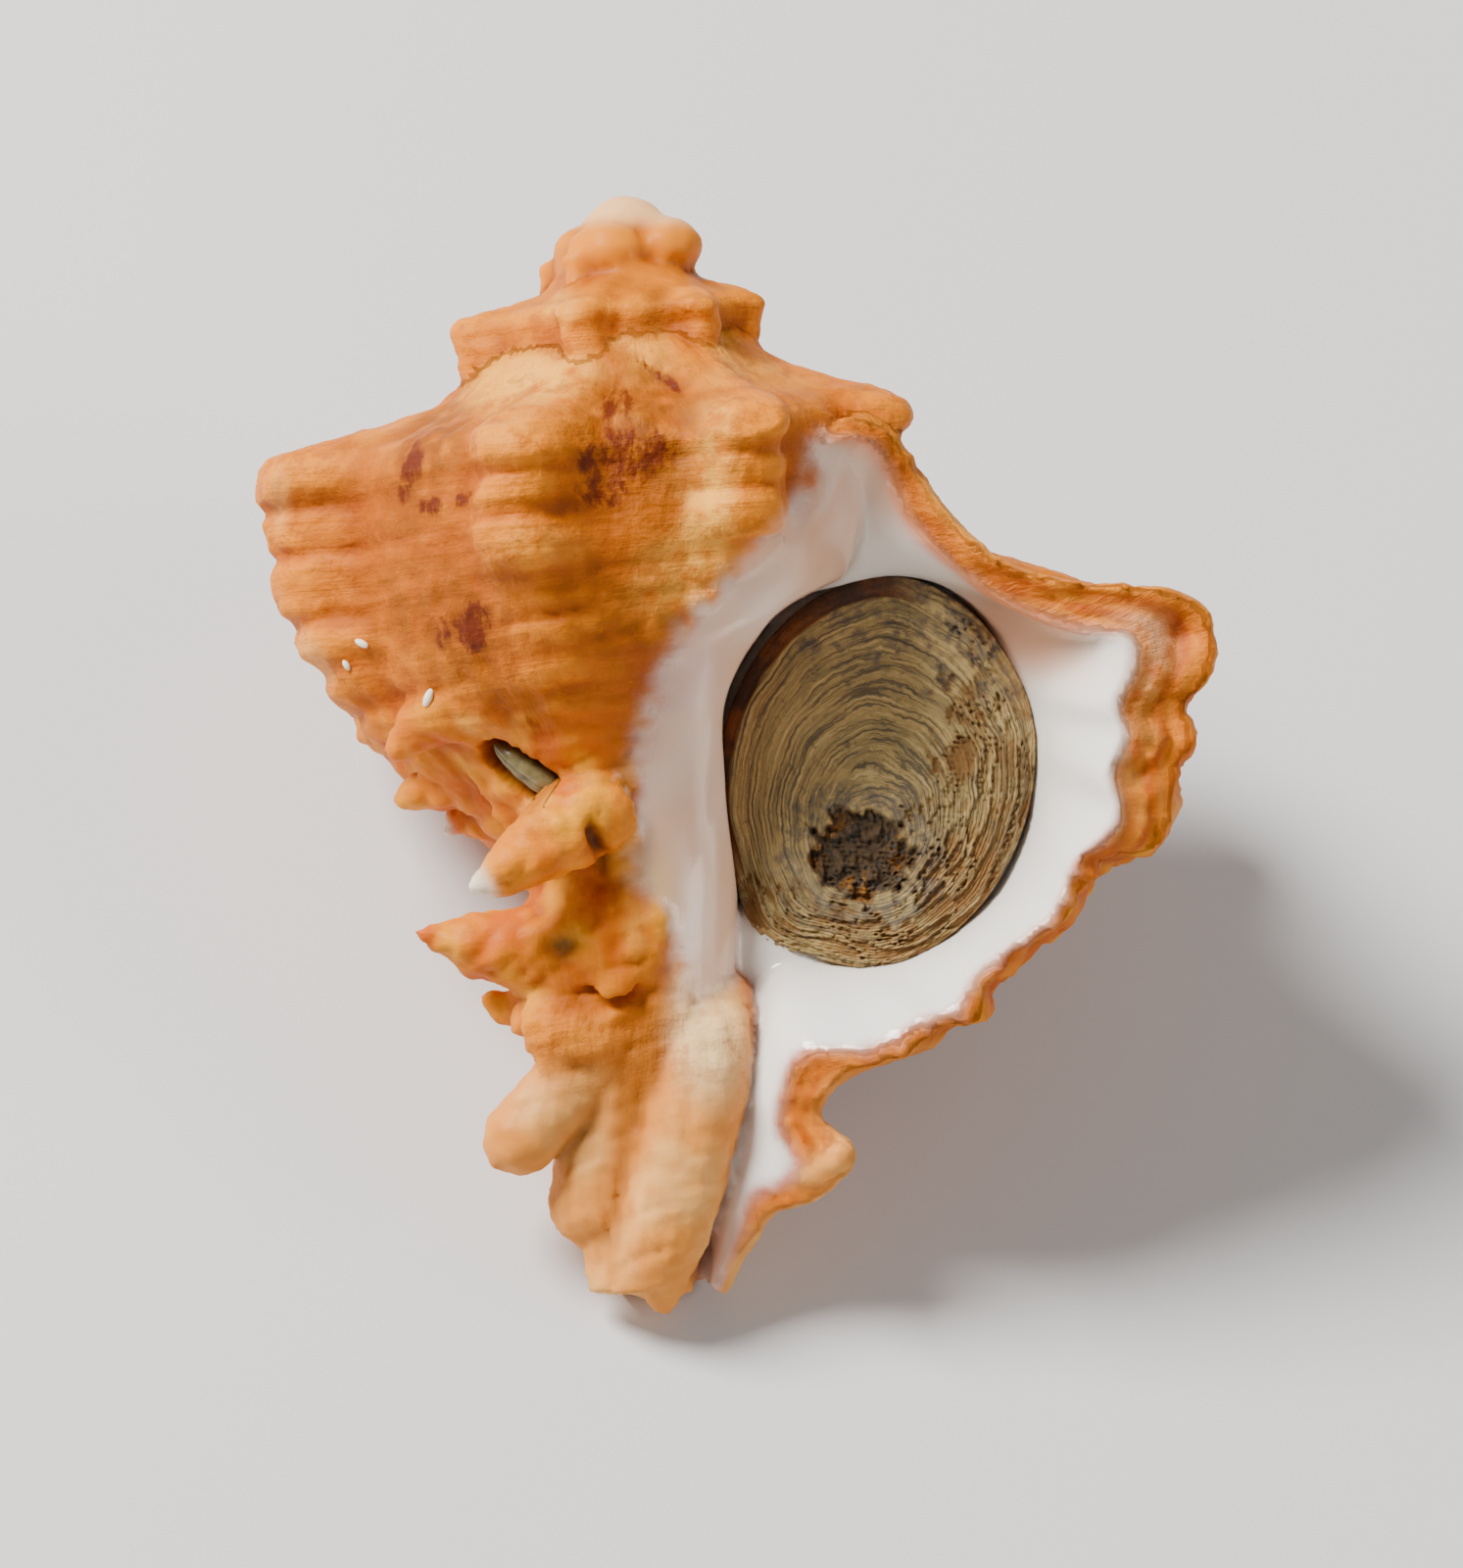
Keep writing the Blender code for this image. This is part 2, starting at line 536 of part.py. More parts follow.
def build():
    """Make the pieces and set the whole down with its box centred on the origin."""
    for item in list(bpy.data.objects):
        bpy.data.objects.remove(item, do_unlink=True)
    folder = bpy.data.collections.new("murex_shell")
    bpy.context.scene.collection.children.link(folder)
    bodies = [core(240, 200), band(160, 90), nucleus()]
    bodies += [horn(path, radii) for path, radii in SPINES.values()]
    mesh = fused("shell", bodies, VOXEL, SHELL_TRIANGLES)
    points = np.empty(len(mesh.vertices) * 3)
    mesh.vertices.foreach_get("co", points)
    points = points.reshape(-1, 3) @ rest_axes().T
    low = points.min(axis=0)
    high = points.max(axis=0)
    centre = np.array([(low[0] + high[0]) / 2, (low[1] + high[1]) / 2, low[2]])
    centre[2] += FLAT_REST
    place_mesh(mesh, points, centre)
    shell = bpy.data.objects.new("shell", mesh)
    folder.objects.link(shell)
    mesh.materials.append(plain_material("orange_shell", (0.83, 0.31, 0.08), 0.4))
    tools = bpy.data.collections.new("cutters")
    bpy.context.scene.collection.children.link(tools)
    seat = to_mesh("seat_cut", [plate(GAP)])
    move_mesh(seat, centre)
    slot = to_mesh("bore_cut", [bean(GAP, SLOT_OPENING)])
    move_mesh(slot, centre)
    floor = floor_block(0.06, 0.009)
    for name, cut_mesh in (("seat_cut", seat), ("bore_cut", slot), ("floor_cut", floor)):
        cutter = bpy.data.objects.new(name, cut_mesh)
        cutter.hide_render = True
        cutter.display_type = "WIRE"
        tools.objects.link(cutter)
        cut = shell.modifiers.new(name, "BOOLEAN")
        cut.operation = "DIFFERENCE"
        cut.object = cutter
    for name, part, colour, roughness in (
        ("operculum", plate(0.0), (0.30, 0.22, 0.10), 0.6),
        ("boring_mussel", bean(0.0, 1.0), (0.16, 0.14, 0.05), 0.25),
    ):
        piece = to_mesh(name, [part])
        move_mesh(piece, centre)
        piece.materials.append(plain_material(name + "_horn", colour, roughness))
        folder.objects.link(bpy.data.objects.new(name, piece))


build()
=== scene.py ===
"""Murex shell with its horny operculum, lying on its back on a pale table."""

import bpy
import numpy as np
from mathutils import Matrix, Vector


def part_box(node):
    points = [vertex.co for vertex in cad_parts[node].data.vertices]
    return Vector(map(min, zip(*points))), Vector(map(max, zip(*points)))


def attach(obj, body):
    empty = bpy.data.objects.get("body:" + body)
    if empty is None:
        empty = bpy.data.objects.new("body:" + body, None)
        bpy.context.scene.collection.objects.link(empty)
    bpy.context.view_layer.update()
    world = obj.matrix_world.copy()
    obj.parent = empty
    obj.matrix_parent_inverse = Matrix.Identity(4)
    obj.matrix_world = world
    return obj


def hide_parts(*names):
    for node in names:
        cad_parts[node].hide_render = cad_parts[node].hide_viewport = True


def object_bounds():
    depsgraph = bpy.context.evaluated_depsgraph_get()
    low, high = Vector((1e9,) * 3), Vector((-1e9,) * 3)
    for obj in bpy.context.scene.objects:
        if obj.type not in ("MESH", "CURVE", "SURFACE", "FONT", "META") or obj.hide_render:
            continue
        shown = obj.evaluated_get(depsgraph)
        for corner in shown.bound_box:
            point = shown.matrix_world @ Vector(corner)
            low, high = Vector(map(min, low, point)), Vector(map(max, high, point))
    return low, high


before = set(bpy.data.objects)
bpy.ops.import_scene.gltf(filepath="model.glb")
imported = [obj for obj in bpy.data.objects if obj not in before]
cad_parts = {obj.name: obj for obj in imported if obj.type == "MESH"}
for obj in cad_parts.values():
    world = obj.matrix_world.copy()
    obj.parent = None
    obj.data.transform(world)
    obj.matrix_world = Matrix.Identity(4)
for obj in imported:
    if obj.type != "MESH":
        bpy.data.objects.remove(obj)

cad_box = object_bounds()

# Frame of the shell
# A shell is measured as it grew, in millimetres: y up the axis from the canal tip to the apex, x to
# the lip, z out of the mouth. It lies on two knobs of its back and its canal, so that frame is turned
# and shifted into the table's. The shift is found from the operculum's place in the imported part.
MM = 0.001
MM_PER_PIXEL = 0.07
AXIS_PIXEL = 660.0
TIP_PIXEL = 1345.0
REST_LEAN = 0.219
REST_PITCH = 0.704
PLATE_WIDTH = 21.4
PLATE_LENGTH = 27.0
PLATE_THICKNESS = 1.6
PLATE_TURN = np.radians(13.0)
PLATE_TILT = np.radians(8.0)
PLATE_PIXEL = (893, 787, -0.8)
PLATE_DOME = 0.9
PIT_DEPTH = 0.7


def on_photo(points):
    """Columns and rows of the photo, with heights in mm, as places in the shell's frame."""
    points = np.asarray(points, float)
    x = (points[..., 0] - AXIS_PIXEL) * MM_PER_PIXEL
    y = (TIP_PIXEL - points[..., 1]) * MM_PER_PIXEL
    return np.stack([x, y, points[..., 2]], axis=-1)


def photo_place(x, y):
    """Column and row of the photo at which a point of the shell's frame shows."""
    return AXIS_PIXEL + x / MM_PER_PIXEL, TIP_PIXEL - y / MM_PER_PIXEL


def plate_form(across, along, height):
    """Turn and tilt points of the operculum, given from its middle, into the throat."""
    dome = PLATE_DOME * (1 - (across / (PLATE_WIDTH / 2)) ** 2)
    x = across * np.cos(PLATE_TURN) + along * np.sin(PLATE_TURN)
    y = along * np.cos(PLATE_TURN) - across * np.sin(PLATE_TURN)
    z = height + dome + across * np.tan(PLATE_TILT)
    return np.stack([x, y, z], axis=-1) + on_photo(PLATE_PIXEL)


def plain_plate(margin=0.0, pitted=1.0, thickness=PLATE_THICKNESS):
    """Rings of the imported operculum: an oval with rounded edges, from back to front."""
    angle = np.linspace(0, 2 * np.pi, 40, endpoint=False)[None, :]
    t = np.linspace(-1, 1, 13)[1:-1, None]
    share = np.cos(0.5 * np.pi * t) ** 0.4
    across = (PLATE_WIDTH / 2 + margin) * share * np.cos(angle)
    along = (PLATE_LENGTH / 2 + margin) * share * np.sin(angle)
    from_nucleus = (across / 3.6) ** 2 + ((along + 0.28 * PLATE_LENGTH) / 3.2) ** 2
    pit = pitted * PIT_DEPTH * np.exp(-from_nucleus) * (t > 0)
    height = thickness / 2 * np.sign(t) * np.sin(0.5 * np.pi * np.abs(t)) ** 1.5 + 0 * angle
    return plate_form(across, along, height - pit)


up = np.array([REST_LEAN, REST_PITCH, 1.0])
up /= np.linalg.norm(up)
north = np.array([0.0, 1.0, 0.0]) - up[1] * up
north /= np.linalg.norm(north)
AXES = np.stack([np.cross(north, up), north, up])
raw = plain_plate().reshape(-1, 3) @ AXES.T * MM
plate_low, plate_high = (np.array(corner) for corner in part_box("operculum"))
SHIFT = (raw.min(axis=0) + raw.max(axis=0)) / 2 - (plate_low + plate_high) / 2


def to_world(points):
    """Millimetres of the shell's frame as metres of the world."""
    return np.asarray(points) @ AXES.T * MM - SHIFT


# Form of the shell
# Aragonite laid down at the mouth's edge turn after turn, so each whorl is the last one grown larger.
# At rest stops the mantle builds thick ribs, parted into knobs by spiral grooves, and spines below.
SHELL_LENGTH = 80.0
MOUTH_RADIUS = 35.0
NUCLEUS_RADIUS = 0.9
GROWTH_PER_TURN = 2.2
SPIRE_SLOPE = 0.77
SHOULDER_SAG = 0.055
SPIRE_LEAN = 0.062
LEAN_FROM = 55.0
RIB_HEIGHT = 0.19
RIB_WIDTH = 0.027
OLDEST_TURN = -2.75
WALL_START = -0.68
SOLID_END = -0.56
WALL = 1.8
LIP_BLEND = 0.11
CANAL_TIP = 1.8
NECK_TOP = 17.0
NECK_LENGTH = 15.0
VOXEL = 0.4
MOST_TRIANGLES = 196000
CORE_GRID = (720, 520)
BAND_GRID = (420, 230, 16)
HORN_SIDES = 28
LIP_TEETH = 46
# Marks of a point: fold, distance from the lip in mm, share of the way round, and horn number
OUTER_MARK = (0.0, 30.0, -1.0, 0.0)
THROAT_MARK = (1.0, 20.0, 0.5, 0.0)
RIBS = (
    -0.085, -0.19, -0.30, -0.405, -0.52, -0.685, -0.815, -0.96, -1.11, -1.25,
    -1.39, -1.53, -1.69, -1.84, -1.98, -2.13, -2.29, -2.45, -2.62,
)
# Half section of a whorl: depth below the shoulder and reach from the axis, both over its radius
PROFILE = (
    (-0.70, 0.05), (-0.42, 0.30), (-0.30, 0.42), (-0.25, 0.475), (-0.178, 0.55), (-0.12, 0.62),
    (-0.078, 0.68), (-0.035, 0.785), (0.0, 0.87), (0.05, 0.915), (0.20, 0.93), (0.42, 0.915),
    (0.60, 0.865), (0.80, 0.77), (0.95, 0.62), (1.12, 0.49), (1.40, 0.375), (1.80, 0.31), (2.6, 0.20),
)
# How high the ribs stand at each depth
FADE = (
    (-0.5, 0), (-0.24, 0.02), (-0.13, 0.22), (-0.07, 0.80), (0.0, 1.18), (0.07, 1.25), (0.2, 1.05),
    (0.42, 0.95), (0.6, 0.8), (0.8, 0.6), (1.0, 0.4), (1.25, 0.1), (2.0, 0),
)
GROOVE_DEPTHS = (0.16, 0.30, 0.50, 0.64, 0.76, 0.88)
GROOVE_WIDTH = 0.024
# Depth at each share of the way round the last whorl's section, down to the start of its base
BAND = (
    (0.0, -0.42), (0.10, -0.233), (0.20, -0.12), (0.30, -0.05), (0.38, 0.0), (0.42, 0.06), (0.48, 0.22),
    (0.54, 0.42), (0.60, 0.60),
)
# Fall of the base to the neck, full by the lip and slim half a turn before it
FULL = (
    (0, 1), (0.17, 0.84), (0.33, 0.72), (0.43, 0.65), (0.56, 0.58), (0.74, 0.44), (0.87, 0.26), (1, 0),
)
SLIM = (
    (0, 1), (0.17, 0.80), (0.29, 0.56), (0.43, 0.34), (0.67, 0.12), (1, 0),
)
# Least radius of the solid core at each height
PILLAR = (
    (0, 1), (2, 1.5), (10, 3), (18, 5.5), (25, 6.2), (46, 6.2), (60, 4), (78, 1), (80, 0.5),
)
# Offset and radius of the neck at each height
NECK = ((2, 3.2, 2.6), (5, 3.2, 4.2), (10, 3.9, 6.0), (17, 4.4, 7.6))
# Left border of the porcelain glaze on the body whorl: photo row and column
GLAZE_BORDER = (
    (440, 838), (455, 832), (500, 824), (545, 792), (585, 752), (640, 702), (700, 672),
    (760, 655), (830, 645), (900, 652), (960, 682), (1000, 700),
)
# Right border of the columella and body whorl where the mouth begins: photo row and column
MOUTH_BORDER = (
    (560, 925), (585, 872), (600, 838), (620, 802), (655, 770), (700, 745), (800, 740),
    (900, 751), (970, 758), (1000, 762),
)
# Lip edge, inner rim and throat: share of the way round, photo column and row, height in mm
LIP_EDGE = (
    (0.00, 862, 425, 9.5), (0.04, 903, 440, 8), (0.09, 930, 480, 7), (0.15, 965, 530, 8),
    (0.21, 1010, 570, 8.5), (0.26, 1060, 590, 9), (0.30, 1105, 597, 9), (0.34, 1150, 600, 8.5),
    (0.375, 1192, 603, 8), (0.40, 1224, 622, 7.5), (0.42, 1236, 652, 7.5), (0.445, 1226, 698, 7),
    (0.46, 1205, 720, 6.5), (0.48, 1216, 752, 7), (0.505, 1195, 790, 6.5), (0.535, 1191, 840, 6.5),
    (0.555, 1170, 870, 6.5), (0.57, 1138, 872, 6.5), (0.60, 1100, 905, 7), (0.625, 1084, 938, 7.5),
    (0.65, 1050, 960, 7.5), (0.675, 1021, 990, 7.5), (0.695, 997, 1010, 7.5), (0.71, 1000, 1036, 7.5),
    (0.73, 958, 1045, 7.5), (0.755, 930, 1070, 7.5), (0.775, 900, 1081, 7.5), (0.80, 862, 1094, 7),
    (0.825, 843, 1112, 6), (0.85, 833, 1138, 5), (0.875, 866, 1168, 5.5), (0.89, 868, 1186, 5.5),
    (0.91, 838, 1220, 4), (0.935, 782, 1240, 3.5), (0.955, 768, 1262, 3), (0.975, 744, 1292, 2.5),
    (1.00, 738, 1322, 2),
)
INNER_RIM = (
    (0.00, 820, 455, 11.5), (0.04, 868, 448, 11), (0.09, 900, 470, 8.5), (0.12, 911, 500, 7.5),
    (0.15, 926, 530, 7), (0.19, 950, 560, 7), (0.23, 985, 590, 7), (0.27, 1010, 610, 7),
    (0.31, 1040, 625, 7.5), (0.34, 1075, 640, 8), (0.37, 1110, 650, 8.5), (0.40, 1144, 656, 9),
    (0.425, 1146, 682, 9), (0.45, 1130, 720, 9), (0.475, 1140, 750, 9), (0.50, 1125, 790, 9),
    (0.53, 1135, 830, 9), (0.555, 1115, 860, 9), (0.57, 1100, 872, 8.5), (0.595, 1090, 895, 8),
    (0.62, 1075, 930, 8), (0.65, 1045, 955, 8), (0.68, 1005, 985, 8), (0.70, 986, 1008, 8),
    (0.715, 975, 1028, 8), (0.74, 940, 1040, 8), (0.765, 905, 1060, 7.5), (0.78, 880, 1070, 7.5),
    (0.795, 850, 1069, 7), (0.81, 822, 1070, 6.5), (0.825, 805, 1085, 6), (0.84, 797, 1110, 5.5),
    (0.86, 790, 1140, 5), (0.88, 796, 1165, 4.5), (0.895, 811, 1186, 4.5), (0.91, 798, 1206, 4),
    (0.925, 770, 1216, 3.5), (0.945, 760, 1240, 3.2), (0.975, 745, 1280, 2.8), (1.00, 735, 1312, 2),
)
THROAT = (
    (0.00, 790, 606, 0), (0.06, 840, 602, 0), (0.12, 880, 592, 0.5), (0.20, 920, 588, 0.5),
    (0.28, 965, 600, 0), (0.35, 1000, 630, 0), (0.42, 1030, 680, 0), (0.48, 1050, 740, 0),
    (0.52, 1053, 790, 0), (0.57, 1045, 850, 0), (0.61, 1020, 905, 0), (0.65, 985, 940, 0),
    (0.69, 940, 968, 0), (0.73, 890, 982, 0), (0.77, 840, 985, 0), (0.80, 800, 985, 0),
    (0.82, 782, 1000, 0.3), (0.84, 770, 1040, 1.2), (0.87, 758, 1090, 1.8), (0.90, 750, 1140, 1.8),
    (0.93, 743, 1200, 1.5), (0.96, 732, 1250, 1.0), (1.00, 722, 1312, 0.6),
)
# Spines and lobes of the base: places along each as photo column, row and height, its radii in mm,
# its flatness and the frill of its end
SPINES = (
    (((500, 700, 8), (440, 735, 7), (400, 772, 6)), (3.5, 2.2, 0.7), 1.0, 0.0),
    (((500, 780, 0), (440, 805, -1), (410, 815, -2)), (3.0, 1.6, 0.9), 1.0, 0.0),
    (((520, 830, -2), (475, 838, -3), (454, 845, -3)), (2.5, 1.2, 0.5), 1.0, 0.0),
    (((620, 820, 7), (545, 868, 11), (485, 905, 12)), (3.4, 2.4, 0.7), 1.0, 0.0),
    (((580, 975, 3), (495, 962, 4), (430, 952, 5.5)), (3.6, 2.4, 0.5), 1.0, 0.0),
    (((580, 1020, 1), (525, 1028, 0), (500, 1020, 0)), (3.0, 1.5, 0.9), 1.0, 0.0),
    (((590, 1030, 3), (545, 1040, 3), (530, 1048, 3)), (2.6, 1.5, 1.0), 1.0, 0.0),
    (((590, 880, 4.0), (620, 945, 6.0), (633, 1008, 5.8)), (3.0, 4.4, 3.4), 0.42, 0.8),
    (((672, 690, 3), (655, 752, 7.2), (640, 834, 7.6)), (1.6, 2.3, 0.8), 0.8, 0.0),
    (((600, 990, 3.4), (592, 1045, 4.8), (578, 1088, 4.4)), (2.8, 4.2, 3.2), 0.45, 0.9),
    (((640, 1055, 1), (580, 1108, 3), (505, 1190, 4)), (3.4, 2.8, 2.7), 1.0, 0.0),
    (((650, 1080, 0), (618, 1170, 1), (598, 1274, 1)), (3.4, 3.4, 2.9), 1.0, 0.0),
    (
        (
            (728, 1010, -2.6), (724, 1055, 2.2), (706, 1130, 3.4),
            (686, 1220, 3.2), (673, 1290, 2.5), (680, 1340, 2),
        ),
        (2.6, 3.3, 3.6, 3.4, 2.7, 0.4), 1.0, 0.0,
    ),
    (((800, 1205, 1), (840, 1188, 3.5), (864, 1176, 5)), (2.2, 1.6, 1.0), 1.0, 0.0),
)


def smooth_curve(t, table):
    """Curve through the rows of a table, knot first: cubic Hermite pieces, central slopes."""
    t = np.asarray(t, float)
    table = np.asarray(table, float)
    knots = table[:, 0]
    values = table[:, 1] if table.shape[1] == 2 else table[:, 1:]
    slopes = np.gradient(values, knots, axis=0)
    i = np.clip(np.searchsorted(knots, t) - 1, 0, len(knots) - 2)
    gap = knots[i + 1] - knots[i]
    s = np.clip((t - knots[i]) / gap, 0.0, 1.0)
    if values.ndim > 1:
        gap = gap[..., None]
        s = s[..., None]
    start = (1 + 2 * s) * (1 - s) ** 2 * values[i] + s * (1 - s) ** 2 * gap * slopes[i]
    end = s * s * (3 - 2 * s) * values[i + 1] + s * s * (s - 1) * gap * slopes[i + 1]
    return start + end


def smooth_step(t):
    """0 below 0, 1 above 1, eased between by 3t^2 - 2t^3."""
    t = np.clip(t, 0.0, 1.0)
    return t * t * (3 - 2 * t)


def bell(t):
    """1 at 0 and nearly 0 beyond 2 either way: exp(-t^2)."""
    return np.exp(-t ** 2)


def whorl_radius(turn):
    """Shoulder radius: it grows by the same factor each turn."""
    return MOUTH_RADIUS * GROWTH_PER_TURN ** turn + NUCLEUS_RADIUS


def shoulder_height(turn):
    """Height of the shoulder: it sinks in proportion to the radius, and sags by the lip."""
    sag = SHOULDER_SAG * (0.5 + 0.5 * np.cos(2 * np.pi * (turn + 0.04))) ** 3
    return SHELL_LENGTH - (SPIRE_SLOPE + sag) * whorl_radius(turn)


def rib_mask(turn, depth):
    """1 on each rib's crest, 0 between: exp(-|t|^3) of the turn from its growth place.

    Ribs waver with the depth and narrow at each groove, which rounds their knobs.
    """
    waist = sum(bell((depth - place) / 0.035) for place in GROOVE_DEPTHS)
    total = np.zeros_like(turn)
    for place in RIBS:
        waver = 0.003 * np.sin(11 * depth + 40 * place) + 0.002 * np.sin(23 * depth + 17 * place)
        total += np.exp(-np.abs((turn - place - waver) / (RIB_WIDTH * (1.05 - 0.11 * waist))) ** 3)
    return total


def groove_mask(depth, radius):
    """1 in each spiral groove of the larger whorls, 0 between, by narrow bells over the depth."""
    side = smooth_step((depth + 0.1) / 0.1) * smooth_step((radius - 13) / 8)
    return side * sum(bell((depth - place) / GROOVE_WIDTH) for place in GROOVE_DEPTHS)


def relief(turn, depth):
    """Ribs and cords over the plain whorl, as a share of its radius.

    A rib's height is its mask times the fade over the depth. Grooves are cut across it, which part
    it into knobs, and run on faintly between the ribs.
    """
    rib = rib_mask(turn, depth)
    fade = smooth_curve(depth, FADE)
    fade = fade * (1 - 0.6 * smooth_step((depth - 0.45) / 0.12) * smooth_step((-0.58 - turn) / 0.05))
    knob = 0.05 * smooth_step((turn + 0.5) / 0.1) * bell((depth - 0.04) / 0.09)
    front_rib = 0.08 * bell((turn + 0.815) / 0.034) * bell((depth + 0.15) / 0.07)
    hollow = 0.012 * (1 - rib) * smooth_step((depth + 0.1) / 0.1) * smooth_step((0.7 - depth) / 0.2)
    groove = groove_mask(depth, whorl_radius(turn)) * (0.003 + 0.028 * rib)
    return rib * (RIB_HEIGHT * fade + knob) + front_rib - hollow - groove


def lean(y):
    """How far the spire leans to the left at a height."""
    return SPIRE_LEAN * np.maximum(0.0, y - LEAN_FROM)


def glaze_mask(x, y, z):
    """1 on the body whorl where porcelain glaze covers it by the mouth, 0 elsewhere."""
    column, row = photo_place(x, y)
    border = smooth_curve(row, GLAZE_BORDER)
    inside = smooth_step((column - border + 18) / 44) * smooth_step((row - 438) / 24)
    throat_side = smooth_step((column - 690) / 30) * smooth_step((row - 545) / 30)
    throat_side = throat_side * smooth_step((z + 14) / 4)
    seen = np.maximum(smooth_step((z + 1) / 4), throat_side)
    return inside * smooth_step((1030 - row) / 24) * seen


def core_turn(azimuth, y):
    """Reach and growth place of the widest of the old whorls that pass an azimuth and height."""
    radius = smooth_curve(y, PILLAR)
    place = azimuth / (2 * np.pi) - 1 + 0 * y
    for back in range(4):
        turn = azimuth / (2 * np.pi) - 1 - back
        whorl = whorl_radius(turn)
        depth = (shoulder_height(turn) - y) / whorl
        plain = whorl * smooth_curve(depth, PROFILE)
        cover = glaze_mask(plain * np.cos(azimuth), y, plain * np.sin(azimuth))
        wide = plain + whorl * relief(turn, depth) * (1 - 0.92 * cover) + 0.5 * cover
        used = (turn < SOLID_END) & (turn > OLDEST_TURN)
        place = np.where(used & (wide > radius), turn, place)
        radius = np.where(used, np.maximum(radius, wide), radius)
    row = photo_place(0, y)[1]
    limit = smooth_curve(row, MOUTH_BORDER)
    limit = (limit - AXIS_PIXEL) * MM_PER_PIXEL / np.maximum(np.cos(azimuth), 0.05)
    cut = (np.cos(azimuth) > 0.05) & (row > 560) & (row < 1000)
    return np.where(cut, np.minimum(radius, limit), radius), place


def grid_faces(count, width, closed, start=0):
    """Quads of a grid of points, closed along its rows or open."""
    index = start + np.arange(count * width).reshape(count, width)
    nxt = np.roll(index, -1, axis=1) if closed else index[:, 1:]
    cur = index if closed else index[:, :-1]
    return np.stack([cur[:-1], nxt[:-1], nxt[1:], cur[1:]], axis=-1).reshape(-1, 4)


def capped(rows, marks, first, last):
    """A grid closed along its rows, with a fan of faces to a point at each end."""
    count, width = rows.shape[:2]
    points = np.concatenate([rows.reshape(-1, 3), np.reshape((first, last), (2, 3))])
    marks = np.broadcast_to(np.asarray(marks, float), (count, width, 4))
    marks = np.concatenate([marks.reshape(-1, 4), marks[0, :1], marks[-1, :1]])
    index = np.arange(width)
    nxt = np.roll(index, -1)
    low = np.full(width, count * width)
    top = index + (count - 1) * width
    start = np.stack([nxt, index, low], axis=-1)
    end = np.stack([top, nxt + (count - 1) * width, low + 1], axis=-1)
    faces = grid_faces(count, width, True).tolist() + start.tolist() + end.tolist()
    return points, marks, faces


def core(columns, rows):
    """Spire, front of the last whorl and columella: a radius for each azimuth and height."""
    azimuth = np.linspace(0, 2 * np.pi, columns, endpoint=False)
    along = 0.5 - 0.5 * np.cos(np.pi * np.linspace(0.03, 0.99, rows))
    y = CANAL_TIP + (SHELL_LENGTH - CANAL_TIP) * along
    az, yy = np.meshgrid(azimuth, y)
    r, place = core_turn(az, yy)
    points = np.stack([r * np.cos(az) - lean(yy), yy, r * np.sin(az)], axis=-1)
    return capped(points[:, ::-1], OUTER_MARK, (0, y[0] - 0.4, 0), (-lean(y[-1]), y[-1] + 0.2, 0))


def ball(centre, half_axes, count, mark):
    """Rings of an ellipsoid: sine and cosine of two angles times its half axes."""
    polar = np.linspace(0.02, np.pi - 0.02, count)[:, None]
    azimuth = np.linspace(0, 2 * np.pi, 2 * count, endpoint=False)[None, :]
    unit = (np.sin(polar) * np.cos(azimuth), -np.cos(polar) + 0 * azimuth, np.sin(polar) * np.sin(azimuth))
    rows = np.asarray(centre) + np.stack(unit, axis=-1) @ np.asarray(half_axes, float)
    return capped(rows[:, ::-1], mark, rows[0].mean(axis=0), rows[-1].mean(axis=0))


def neck_radius(turn, y):
    """Distance from the axis to the neck's outline: a circle set off towards the canal."""
    azimuth = 2 * np.pi * turn
    offset, radius = np.moveaxis(smooth_curve(y, NECK), -1, 0)
    across = np.sqrt(np.maximum(radius ** 2 - (offset * np.sin(azimuth)) ** 2, 0.3))
    return np.maximum(offset * np.cos(azimuth) + across, 0.8)


def band_outside(turn, share, ribbed=True):
    """Reach and height of the last whorl's outside, from its suture round to the neck's end."""
    radius = whorl_radius(turn)
    top = shoulder_height(turn)
    base = (top - NECK_TOP) / radius
    depth = smooth_curve(np.minimum(share, 0.60), BAND)
    down = np.clip((share - 0.60) / 0.22, 0, 1)
    depth = depth + (base - 0.60) * down
    upper = smooth_curve(np.minimum(depth, 0.60), PROFILE)
    full = smooth_curve(down, FULL)
    slim = smooth_curve(down, SLIM)
    fall = slim + (full - slim) * smooth_step((turn + 0.45) / 0.35)
    neck_share = np.clip((share - 0.82) / 0.18, 0, 1)
    neck = neck_radius(turn, NECK_TOP - NECK_LENGTH * neck_share)
    reach_mm = neck + (0.865 * radius - neck) * fall
    reach_mm = np.where(share > 0.60, reach_mm, radius * upper)
    y = np.where(share > 0.82, NECK_TOP - NECK_LENGTH * neck_share, top - radius * depth)
    if not ribbed:
        return reach_mm, y
    return reach_mm + radius * relief(turn, depth) * (share < 0.82), y


def band_inside(turn, share):
    """Inside of the last whorl: the plain outside drawn in to the section's middle by the wall."""
    radius = whorl_radius(turn)
    r, y = band_outside(turn, share, ribbed=False)
    middle_r = 0.50 * radius
    middle_y = shoulder_height(turn) - 0.36 * radius
    gap = np.hypot(r - middle_r, y - middle_y)
    pull = np.clip((0.035 * radius + WALL) / gap, 0, 0.8)
    r = r + (middle_r - r) * pull
    y = y + (middle_y - y) * pull
    buried = smooth_step((share - 0.74) / 0.12)
    r = r + (0.08 * radius - r) * buried
    y = y + (shoulder_height(turn) - 0.95 * radius - y) * buried
    return r, y


def lip_teeth(share, power):
    """1 on each small tooth of the lower lip, 0 between: a power of a cosine of the share."""
    low_lip = smooth_step((share - 0.56) / 0.03) * smooth_step((0.80 - share) / 0.03)
    return np.maximum(0.0, np.cos(2 * np.pi * share * LIP_TEETH)) ** power * low_lip


